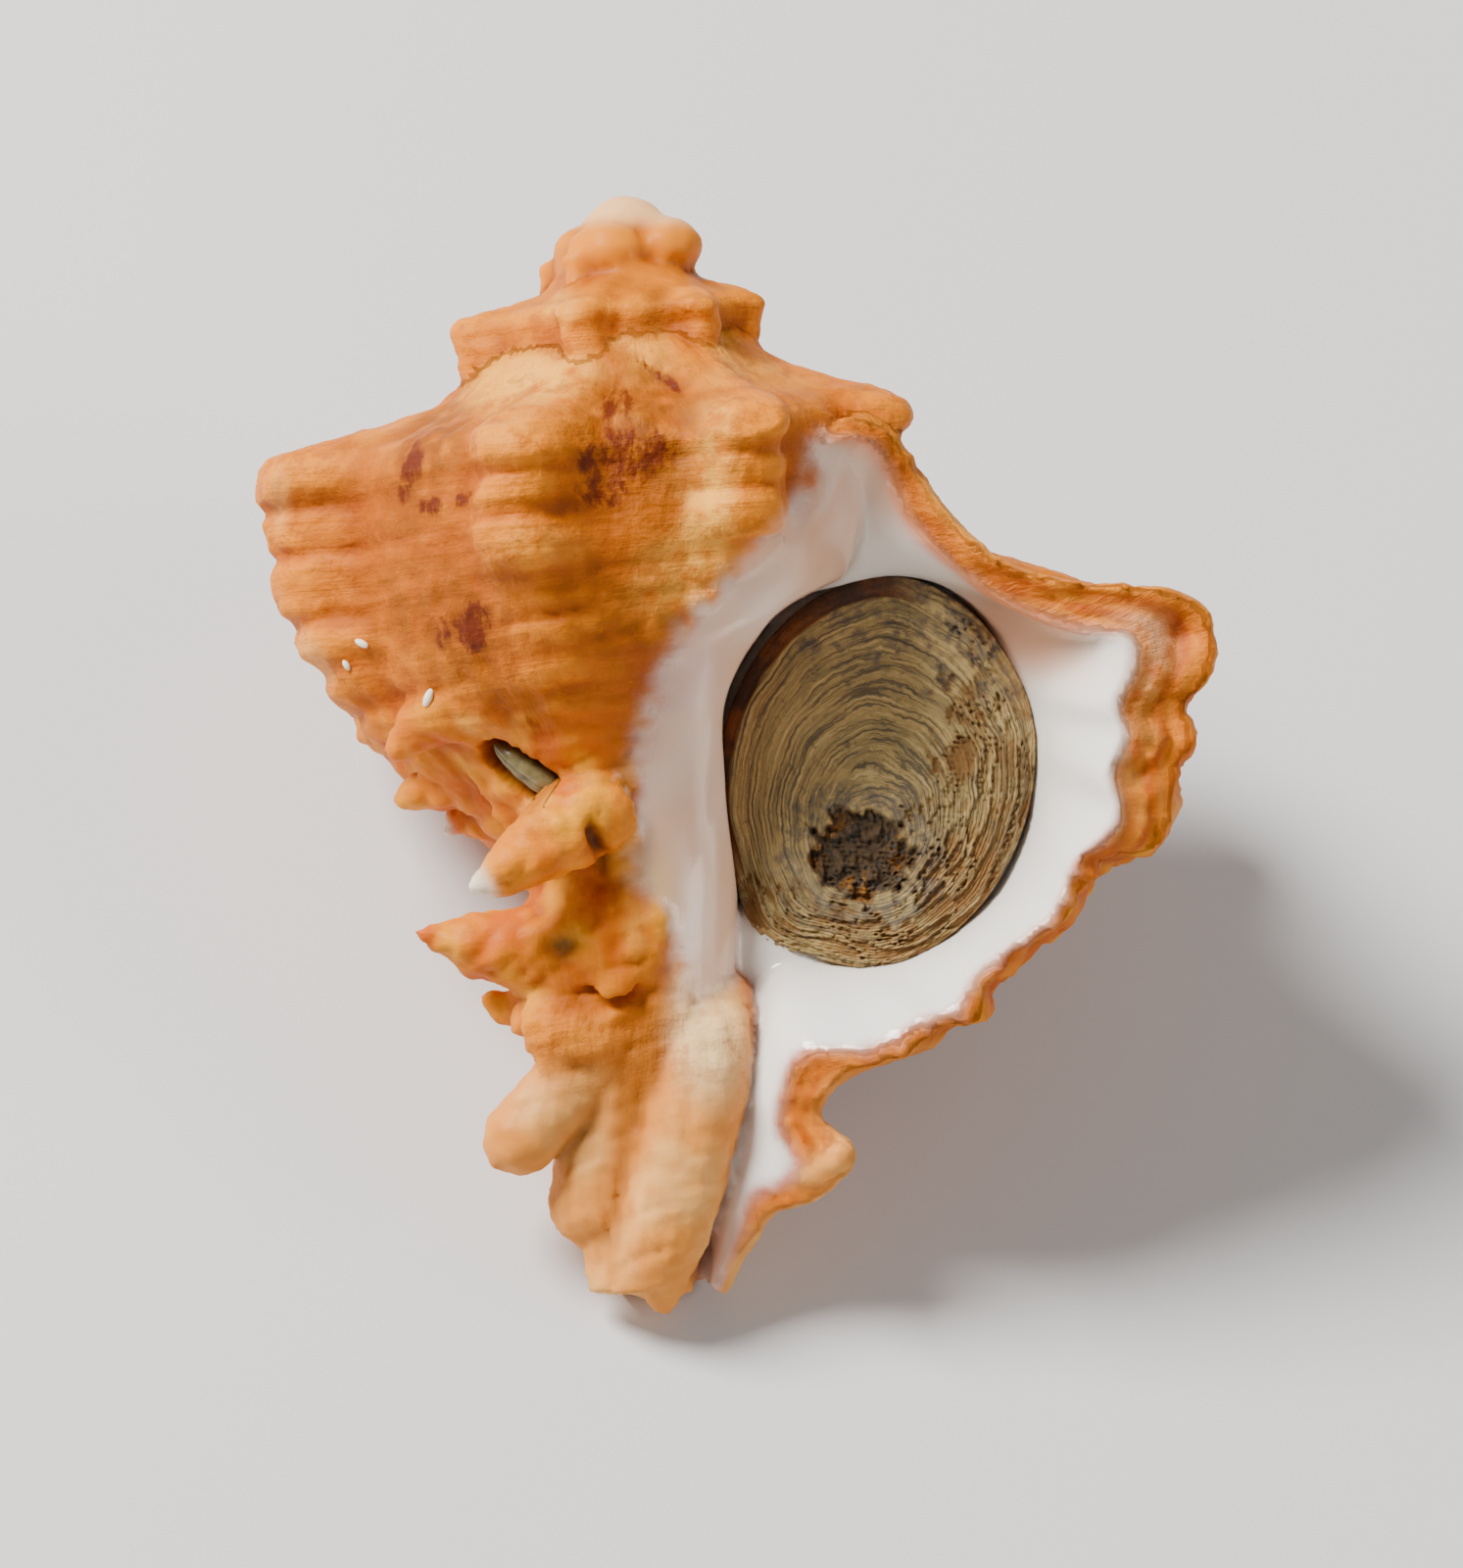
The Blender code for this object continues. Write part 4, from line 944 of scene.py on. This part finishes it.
def shell_material():
    """Aragonite with an orange outer layer and bare porcelain glaze.

    The outer layer is satin and finely streaked along the growth lines and cords, the maroon marks
    are built of short axial streaks, and the glaze is smooth, bright and a little translucent.
    Flow is in mm and Object coordinates in metres, so a scale of 1300 gives grains of 0.8 mm.
    """
    material, tree, shader = new_material("aragonite_shell")
    hue_in, masks_in, flow_in = (
        add(tree, "ShaderNodeAttribute", attribute_name=name) for name in ("hue", "masks", "flow")
    )
    mask = add(tree, "ShaderNodeSeparateColor", {"Color": masks_in.outputs["Color"]})
    glaze_out, maroon_out, ridged_out = (mask.outputs[name] for name in ("Red", "Green", "Blue"))
    flow_out = flow_in.outputs["Vector"]
    place_out = add(tree, "ShaderNodeTexCoord").outputs["Object"]
    patterns = []
    for vector, scale, detail, roughness in (
        (flow_out, (0.24, 1.4, 0.0), 6.0, 0.6),
        (flow_out, (1.2, 0.35, 0.0), 6.0, 0.6),
        (place_out, (1300.0, 1300.0, 1300.0), 5.0, 0.6),
        (place_out, (380.0, 380.0, 380.0), 8.0, 0.7),
        (flow_out, (1.7, 0.42, 0.0), 6.0, 0.7),
    ):
        stretched = add(tree, "ShaderNodeMapping", {"Vector": vector, "Scale": scale})
        patterns.append(add(tree, "ShaderNodeTexNoise", {
            "Vector": stretched.outputs["Vector"], "Scale": 1.0, "Detail": detail, "Roughness": roughness,
        }).outputs["Fac"])
    cords, lines, grain, patches, streaks = patterns
    broken = add(tree, "ShaderNodeMath", {0: maroon_out, 1: streaks}, operation="ADD").outputs["Value"]
    colour = layered(tree, hue_in.outputs["Color"], (
        (cords, 0.50, 0.72, ridged_out, 0.22, "#8E3A00"),
        (lines, 0.50, 0.70, ridged_out, 0.10, "#E89020"),
        (patches, 0.48, 0.60, ridged_out, 0.55, "#A85200"),
        (streaks, 0.36, 0.56, maroon_out, 0.9, "#8C4000"),
        (broken, 0.96, 1.16, 1.0, 0.92, "#5E1E06"),
        (grain, 0.62, 0.75, ridged_out, 0.25, "#E88A18"),
    ))
    tree.links.new(colour, shader.inputs["Base Color"])
    gloss = add(tree, "ShaderNodeMapRange", {"Value": glaze_out, "To Min": 0.5, "To Max": 0.18})
    grainy = add(tree, "ShaderNodeMath", {0: grain, 1: ridged_out}, operation="MULTIPLY").outputs["Value"]
    uneven = add(tree, "ShaderNodeMath", {0: grainy, 1: 0.10, 2: gloss.outputs["Result"]},
                 operation="MULTIPLY_ADD")
    tree.links.new(uneven.outputs["Value"], shader.inputs["Roughness"])
    shader.inputs["IOR"].default_value = 1.55
    level = add(tree, "ShaderNodeMapRange", {"Value": glaze_out, "To Min": 0.13, "To Max": 0.5})
    tree.links.new(level.outputs["Result"], shader.inputs["Specular IOR Level"])
    shader.inputs["Subsurface Weight"].default_value = 0.05
    shader.inputs["Subsurface Radius"].default_value = (1.0, 0.5, 0.3)
    shader.inputs["Subsurface Scale"].default_value = MM
    height = lines
    for pattern, strength in ((cords, 0.6), (grain, 0.5)):
        height = add(tree, "ShaderNodeMath", {0: pattern, 1: strength, 2: height},
                     operation="MULTIPLY_ADD").outputs["Value"]
    height = add(tree, "ShaderNodeMath", {0: height, 1: ridged_out}, operation="MULTIPLY").outputs["Value"]
    bump = add(tree, "ShaderNodeBump", {"Height": height, "Strength": 0.8, "Distance": 0.4 * MM})
    tree.links.new(bump.outputs["Normal"], shader.inputs["Normal"])
    return material


# Thinned to keep the piece light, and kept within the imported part's box
whole = in_scene("shell_whole", shell_mesh)
thin = whole.modifiers.new("thin", "DECIMATE")
thin.ratio = MOST_TRIANGLES / (2 * len(shell_mesh.polygons))
shell_mesh = evaluated(whole)
bpy.data.objects.remove(whole)
corners = np.clip(read(shell_mesh.vertices, "co", 3), cad_box[0], cad_box[1])
shell_mesh.vertices.foreach_set("co", corners.astype(np.float32).ravel())
shell_mesh.shade_smooth()
shell = in_scene("shell_dressed", shell_mesh)
shell_mesh.materials.clear()
shell_mesh.materials.append(shell_material())
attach(shell, "root")
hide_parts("shell")


# Operculum
# A plate of horny protein that shuts the mouth. It grew in layers round a nucleus near its lower end,
# so arcs crowd to its right edge, where they flake. The nucleus has worn to a ragged dark pit, and
# the newest horn shows as a dark polished border at the upper left, its dark brown partly painted
# shade under the columella.
NUCLEUS_PIXEL = (890, 872)
RING_COUNT = 34
PLATE_GRID = (360, 190)


def ring_points(angle, t):
    """Across and along the plate: from the nucleus out to the oval edge at each angle."""
    centre = on_photo((*NUCLEUS_PIXEL, 0)) - on_photo((*PLATE_PIXEL[:2], 0))
    dx, dy = centre[0], centre[1]
    nucleus_across = dx * np.cos(PLATE_TURN) - dy * np.sin(PLATE_TURN)
    nucleus_along = dx * np.sin(PLATE_TURN) + dy * np.cos(PLATE_TURN)
    lip = 1 + 0.095 * bell((np.mod(angle, 2 * np.pi) - 4.22) / 0.30)
    lip = lip + 0.035 * smooth_step((np.cos(angle - np.radians(150)) - 0.2) / 0.5)
    lip = lip + 0.042 * smooth_step((np.cos(angle + np.radians(25)) - 0.2) / 0.5)
    edge_across = PLATE_WIDTH / 2 * np.cos(angle) * lip
    edge_along = PLATE_LENGTH / 2 * np.sin(angle) * lip
    across = nucleus_across + (edge_across - nucleus_across) * t
    along = nucleus_along + (edge_along - nucleus_along) * t
    return across, along


def operculum_mesh(columns, rings):
    """Plate of rings about the nucleus, stepped layer by layer, with a rounded edge and plain back.

    Each point is marked with its grey soil, pit, polished border and how flaky it is, and with a
    place that runs along the layers, for the shader.
    """
    angle = np.linspace(0, 2 * np.pi, columns, endpoint=False)[None, :]
    t = np.linspace(0.01, 1, rings)[:, None] ** 0.8
    across, along = ring_points(angle, t)
    spot = np.stack([across.ravel(), along.ravel()], axis=1)

    def uneven(wavelength, seed):
        return ripple(spot, wavelength, seed).reshape(across.shape)

    broad = uneven(5.0, 20)
    noise = uneven(2.6, 21) * 0.6 + uneven(1.1, 22) * 0.4
    fine = uneven(0.5, 23)
    right = smooth_step((across / (PLATE_WIDTH / 2) - 0.30 + 0.14 * noise) / 0.2)
    low = smooth_step((-along / (PLATE_LENGTH / 2) - 0.62 + 0.10 * noise) / 0.2)
    flaky = np.maximum(right, low)
    phase = RING_COUNT * t ** 1.2 + 0.16 * noise + 0.05 * fine + 0.3 * broad
    step = phase - np.floor(phase)
    height = PLATE_THICKNESS / 2 - (0.05 + 0.07 * flaky) * (1 - step) ** 2
    layer_x = 5 * np.cos(angle) * t ** 0.3
    layer_y = 5 * np.sin(angle) * t ** 0.3
    along_layers = np.stack([layer_x, layer_y, 0.5 * phase], axis=-1)
    torn = ripple(along_layers.reshape(-1, 3), 2.4, 26).reshape(across.shape) + 0.25 * fine
    tear = smooth_step((np.abs(torn) - 0.35) / 0.15)
    height -= flaky * 0.34 * tear * (0.9 + 0.1 * fine)
    height -= 0.04 * smooth_step(fine + 0.8 * noise - 0.5)
    from_pit = np.hypot((across - 0.45) / 3.9, (along + 6.0) / 3.2)
    pit = smooth_step((1.08 + 0.07 * uneven(3.4, 25) + 0.10 * noise - from_pit) / 0.2)
    shred = smooth_step((uneven(1.5, 24) - 0.25) / 0.3)
    height -= pit * (1.05 - 0.5 * shred + 0.08 * fine)
    upper_left = smooth_step((np.cos(angle - np.radians(156)) - 0.28) / 0.35) + 0 * t
    border = smooth_step((t - 0.925 - 0.004 * noise) / 0.012) * upper_left
    level = PLATE_THICKNESS / 2 - 0.5 + 0.25 * np.sin(np.pi * (t - 0.92) / 0.08)
    height = height * (1 - border) + border * level
    height = np.maximum(height * (1 - 0.2 * smooth_step((t - 0.95) / 0.05)), -0.5)
    front = plate_form(across, along, height)
    edge = []
    for s in np.linspace(0, np.pi, 8)[1:-1]:
        out = 1 + 0.012 * np.sin(s)
        level = height[-1] * (1 + np.cos(s)) / 2 - PLATE_THICKNESS / 2 * (1 - np.cos(s)) / 2
        edge.append(plate_form(across[-1] * out, along[-1] * out, level))
    back = [plate_form(across[k], along[k], -PLATE_THICKNESS / 2) for k in (-1, -rings // 3)]
    rows = np.concatenate([front, np.stack(edge), np.stack(back)])
    marks = np.zeros(rows.shape[:2] + (4,))
    soil = bell((from_pit - 1.25 + 0.2 * noise) / 0.35) * 0.8
    upper_soil = smooth_step((along / PLATE_LENGTH - 0.22 + 0.08 * noise) / 0.2)
    soil = np.maximum(soil, upper_soil * (0.6 + 0.4 * noise))
    for channel, values in enumerate((np.clip(soil, 0, 1), pit, border, flaky * (0.45 + 0.55 * tear))):
        marks[:rings, :, channel] = values
        marks[rings:, :, channel] = values[-1]
    layers = phase / RING_COUNT * 12
    flow = np.zeros(rows.shape)
    flow[:rings] = np.stack([layer_x, layer_y, layers], axis=-1)
    flow[rings:] = flow[rings - 1]
    first = front[0].mean(axis=0)
    last = rows[-1].mean(axis=0)
    points, marks, faces = capped(rows[::-1], marks[::-1], last, first)
    mesh = joined("operculum_dressed", [(to_world(points), marks, faces)])
    flow = np.concatenate([flow[::-1].reshape(-1, 3), flow[-1, :1], flow[0, :1]])
    write_attribute(mesh, "flow", flow, "FLOAT_VECTOR", "vector")
    mesh.shade_smooth()
    return mesh


def horn_material():
    """Dry horn: matt khaki layers with grey dirt in the steps, golden flakes, an amber border with painted
    shade.
    """
    material, tree, shader = new_material("dry_horn")
    growth_in, flow_in = (
        add(tree, "ShaderNodeAttribute", attribute_name=name) for name in ("growth", "flow")
    )
    mask = add(tree, "ShaderNodeSeparateColor", {"Color": growth_in.outputs["Color"]})
    soil_out, pit_out, border_out = (mask.outputs[name] for name in ("Red", "Green", "Blue"))
    place_out = add(tree, "ShaderNodeTexCoord").outputs["Object"]
    patterns = []
    for vector, scale, detail in (
        (flow_in.outputs["Vector"], (0.28, 0.28, 5.0), 8.0),
        (flow_in.outputs["Vector"], (0.35, 0.35, 1.1), 4.0),
        (place_out, (1400.0, 1400.0, 1400.0), 5.0),
        (place_out, (240.0, 240.0, 240.0), 5.0),
    ):
        stretched = add(tree, "ShaderNodeMapping", {"Vector": vector, "Scale": scale})
        patterns.append(add(tree, "ShaderNodeTexNoise", {
            "Vector": stretched.outputs["Vector"], "Scale": 1.0, "Detail": detail, "Roughness": 0.65,
        }).outputs["Fac"])
    arcs, broad, dirt, patches = patterns
    colour = layered(tree, paint("#BC9E60"), (
        (broad, 0.40, 0.62, 1.0, 1.0, "#A08A56"),
        (arcs, 0.50, 0.58, 1.0, 0.8, "#4E4638"),
        (arcs, 0.46, 0.38, 1.0, 0.7, "#D8BC7C"),
        (patches, 0.34, 0.56, growth_in.outputs["Alpha"], 0.85, "#8A5A1C"),
        (dirt, 0.55, 0.72, 1.0, 0.55, "#3C352A"),
        (dirt, 0.36, 0.56, soil_out, 0.8, "#57504A"),
    ))
    pit_colour = layered(tree, paint("#5A4428"), (
        (patches, 0.50, 0.62, 1.0, 1.0, "#A86C20"),
        (dirt, 0.50, 0.62, 1.0, 1.0, "#4A4236"),
    ))
    # The border's dark brown is partly the horn's own colour, partly painted shade under the columella
    border_colour = layered(tree, paint("#442408"), ((patches, 0.42, 0.62, 1.0, 1.0, "#84480F"),))
    for mask_out, over in ((pit_out, pit_colour), (border_out, border_colour)):
        mix = add(tree, "ShaderNodeMix", {0: mask_out, 6: colour, 7: over}, data_type="RGBA")
        colour = mix.outputs[2]
    tree.links.new(colour, shader.inputs["Base Color"])
    gloss = add(tree, "ShaderNodeMapRange", {"Value": border_out, "To Min": 0.72, "To Max": 0.3})
    tree.links.new(gloss.outputs["Result"], shader.inputs["Roughness"])
    shader.inputs["IOR"].default_value = 1.54
    height = add(tree, "ShaderNodeMath", {0: arcs, 1: dirt}, operation="ADD").outputs["Value"]
    bump = add(tree, "ShaderNodeBump", {"Height": height, "Strength": 0.7, "Distance": 0.3 * MM})
    tree.links.new(bump.outputs["Normal"], shader.inputs["Normal"])
    return material


operculum = in_scene("operculum_dressed", operculum_mesh(*PLATE_GRID))
operculum.data.materials.append(horn_material())
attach(operculum, "root")
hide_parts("operculum")


# Boring mussel
# A small bivalve that has bored into the base and lies in its slot: two smooth valves with a brown
# skin, closed along a fine seam that faces out.
def mussel_mesh():
    """Two valves as one ellipsoid, blunt at one end, with growth rings and a seam pressed in."""
    points, marks, faces = ball((0, 0, 0), np.eye(3), 48, (0, 0, 0, 0))
    side, along, out = points.T
    blunt = 1 - 0.16 * along
    ring = 0.02 * np.cos(26 * np.sqrt(np.maximum(0, 1.05 - along)))
    seam = 0.10 * bell(side / 0.09) * (out > 0)
    size = 1 + ring - seam
    placed = (
        on_photo(BORE_PIXEL)
        + (side * blunt * size)[:, None] * BORE_SIDE
        - (along * 2.98)[:, None] * BORE_ALONG
        + (out * blunt * size)[:, None] * BORE_OUT
    )
    return joined("boring_mussel_dressed", [(to_world(placed), marks, faces)])


def mussel_material():
    """Periostracum: a thin olive-brown skin, glossy when clean, paler where it has worn."""
    material, tree, shader = new_material("mussel_periostracum")
    coords = add(tree, "ShaderNodeTexCoord")
    patches = add(tree, "ShaderNodeTexNoise", {
        "Vector": coords.outputs["Object"], "Scale": 700.0, "Detail": 4.0,
    }).outputs["Fac"]
    level = add(tree, "ShaderNodeMapRange", {"Value": patches, "From Min": 0.38, "From Max": 0.62})
    colour = add(tree, "ShaderNodeMix", {
        0: level.outputs["Result"], 6: paint("#4E4626"), 7: paint("#7C7048"),
    }, data_type="RGBA")
    tree.links.new(colour.outputs[2], shader.inputs["Base Color"])
    shader.inputs["Roughness"].default_value = 0.28
    shader.inputs["IOR"].default_value = 1.5
    bump = add(tree, "ShaderNodeBump", {"Height": patches, "Strength": 0.3, "Distance": 0.1 * MM})
    tree.links.new(bump.outputs["Normal"], shader.inputs["Normal"])
    return material


mussel = in_scene("boring_mussel_dressed", mussel_mesh())
mussel.data.shade_smooth()
mussel.data.materials.append(mussel_material())
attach(mussel, "root")
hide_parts("boring_mussel")


# White grains
# Three tiny pale egg cases, smooth beans of chalky shell, stuck in hollows on the left of the base.
GRAINS = (((372, 657), 20, 0.55, 0.26), ((356, 679), 60, 0.42, 0.22), ((440, 713), -70, 0.70, 0.32))


def grain_body(pixel, degrees, length, width):
    """One bean, set on the dressed shell's surface where the camera's ray meets it."""
    centre = on_photo((*pixel, 40.0))
    found, normal = shell.ray_cast(to_world(centre).tolist(), (-AXES.T[2]).tolist())[1:3]
    normal = AXES.T @ np.array(normal)
    along = np.array((np.cos(np.radians(degrees)), -np.sin(np.radians(degrees)), 0.0))
    along -= normal * along.dot(normal)
    along /= np.linalg.norm(along)
    side = np.cross(normal, along)
    middle = (np.array(found) + SHIFT) / MM @ AXES + normal * width * 0.45
    body = ball(middle, (along * length, normal * width, side * width), 14, (0, 0, 0, 0))
    return to_world(body[0]), body[1], body[2]


def plain_material(name, code, roughness):
    """A material of one even colour, with a soft sheen when smooth and matt when rough."""
    material, tree, shader = new_material(name)
    shader.inputs["Base Color"].default_value = paint(code)
    shader.inputs["Roughness"].default_value = roughness
    return material


grain_mesh = joined("white_grains", [grain_body(*grain) for grain in GRAINS])
grain_mesh.shade_smooth()
grains = in_scene("white_grains", grain_mesh)
grain_mesh.materials.append(plain_material("chalky_shell", "#F2E4C8", 0.4))
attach(grains, "root")


# Table, light and camera
# A plain pale table under soft boxes. The camera looks straight into the mouth through a long lens,
# as in the photo, from 1.2 m.
VIEW_HEIGHT = 1600 * MM_PER_PIXEL * MM
CAMERA_DISTANCE = 1.2
SENSOR = 0.024
TABLE_HALF = 3.0
table_mesh = bpy.data.meshes.new("table")
table_corners = [(a * TABLE_HALF, b * TABLE_HALF, 0) for a, b in ((-1, -1), (1, -1), (1, 1), (-1, 1))]
table_mesh.from_pydata(table_corners, [], [(0, 1, 2, 3)])
table = in_scene("table", table_mesh)
table_mesh.materials.append(plain_material("matt_laminate", "#D8D6D2", 0.7))

target = to_world(on_photo((746.5, 800, 0)))
up_axis = AXES[:, 1]


def aimed(name, data, direction, distance):
    """An object set off from the target in a direction of the shell's frame, facing it."""
    backward = AXES @ (np.array(direction, float) / np.linalg.norm(direction))
    side = np.cross(up_axis, backward)
    side /= np.linalg.norm(side)
    upward = np.cross(backward, side)
    item = in_scene(name, data)
    turned = Matrix(np.stack([side, upward, backward]).T.tolist())
    item.matrix_world = Matrix.Translation(target + backward * distance) @ turned.to_4x4()
    return item


lens = bpy.data.cameras.new("camera")
lens.sensor_fit = "VERTICAL"
lens.sensor_height = SENSOR * 1000
lens.lens = SENSOR * 1000 * CAMERA_DISTANCE / VIEW_HEIGHT
lens.clip_start = 0.05
lens.clip_end = 20.0
bpy.context.scene.camera = aimed("camera", lens, (0, 0, 1), CAMERA_DISTANCE)

LIGHTS = (
    ("key_light", (-0.65, 0.85, 0.70), 0.9, 0.40, 22.0),
    ("fill_light", (1.0, 0.1, 0.45), 0.9, 0.5, 3.5),
    ("low_light", (-0.7, -0.9, 0.6), 1.0, 0.5, 5.0),
)
for name, direction, distance, size, power in LIGHTS:
    light = bpy.data.lights.new(name, "AREA")
    light.shape = "DISK"
    light.size = size
    light.energy = power
    aimed(name, light, direction, distance)
world = bpy.data.worlds.new("studio")
world.use_nodes = True
world.node_tree.nodes["Background"].inputs["Color"].default_value = (0.9, 0.93, 1.0, 1.0)
world.node_tree.nodes["Background"].inputs["Strength"].default_value = 0.2
bpy.context.scene.world = world
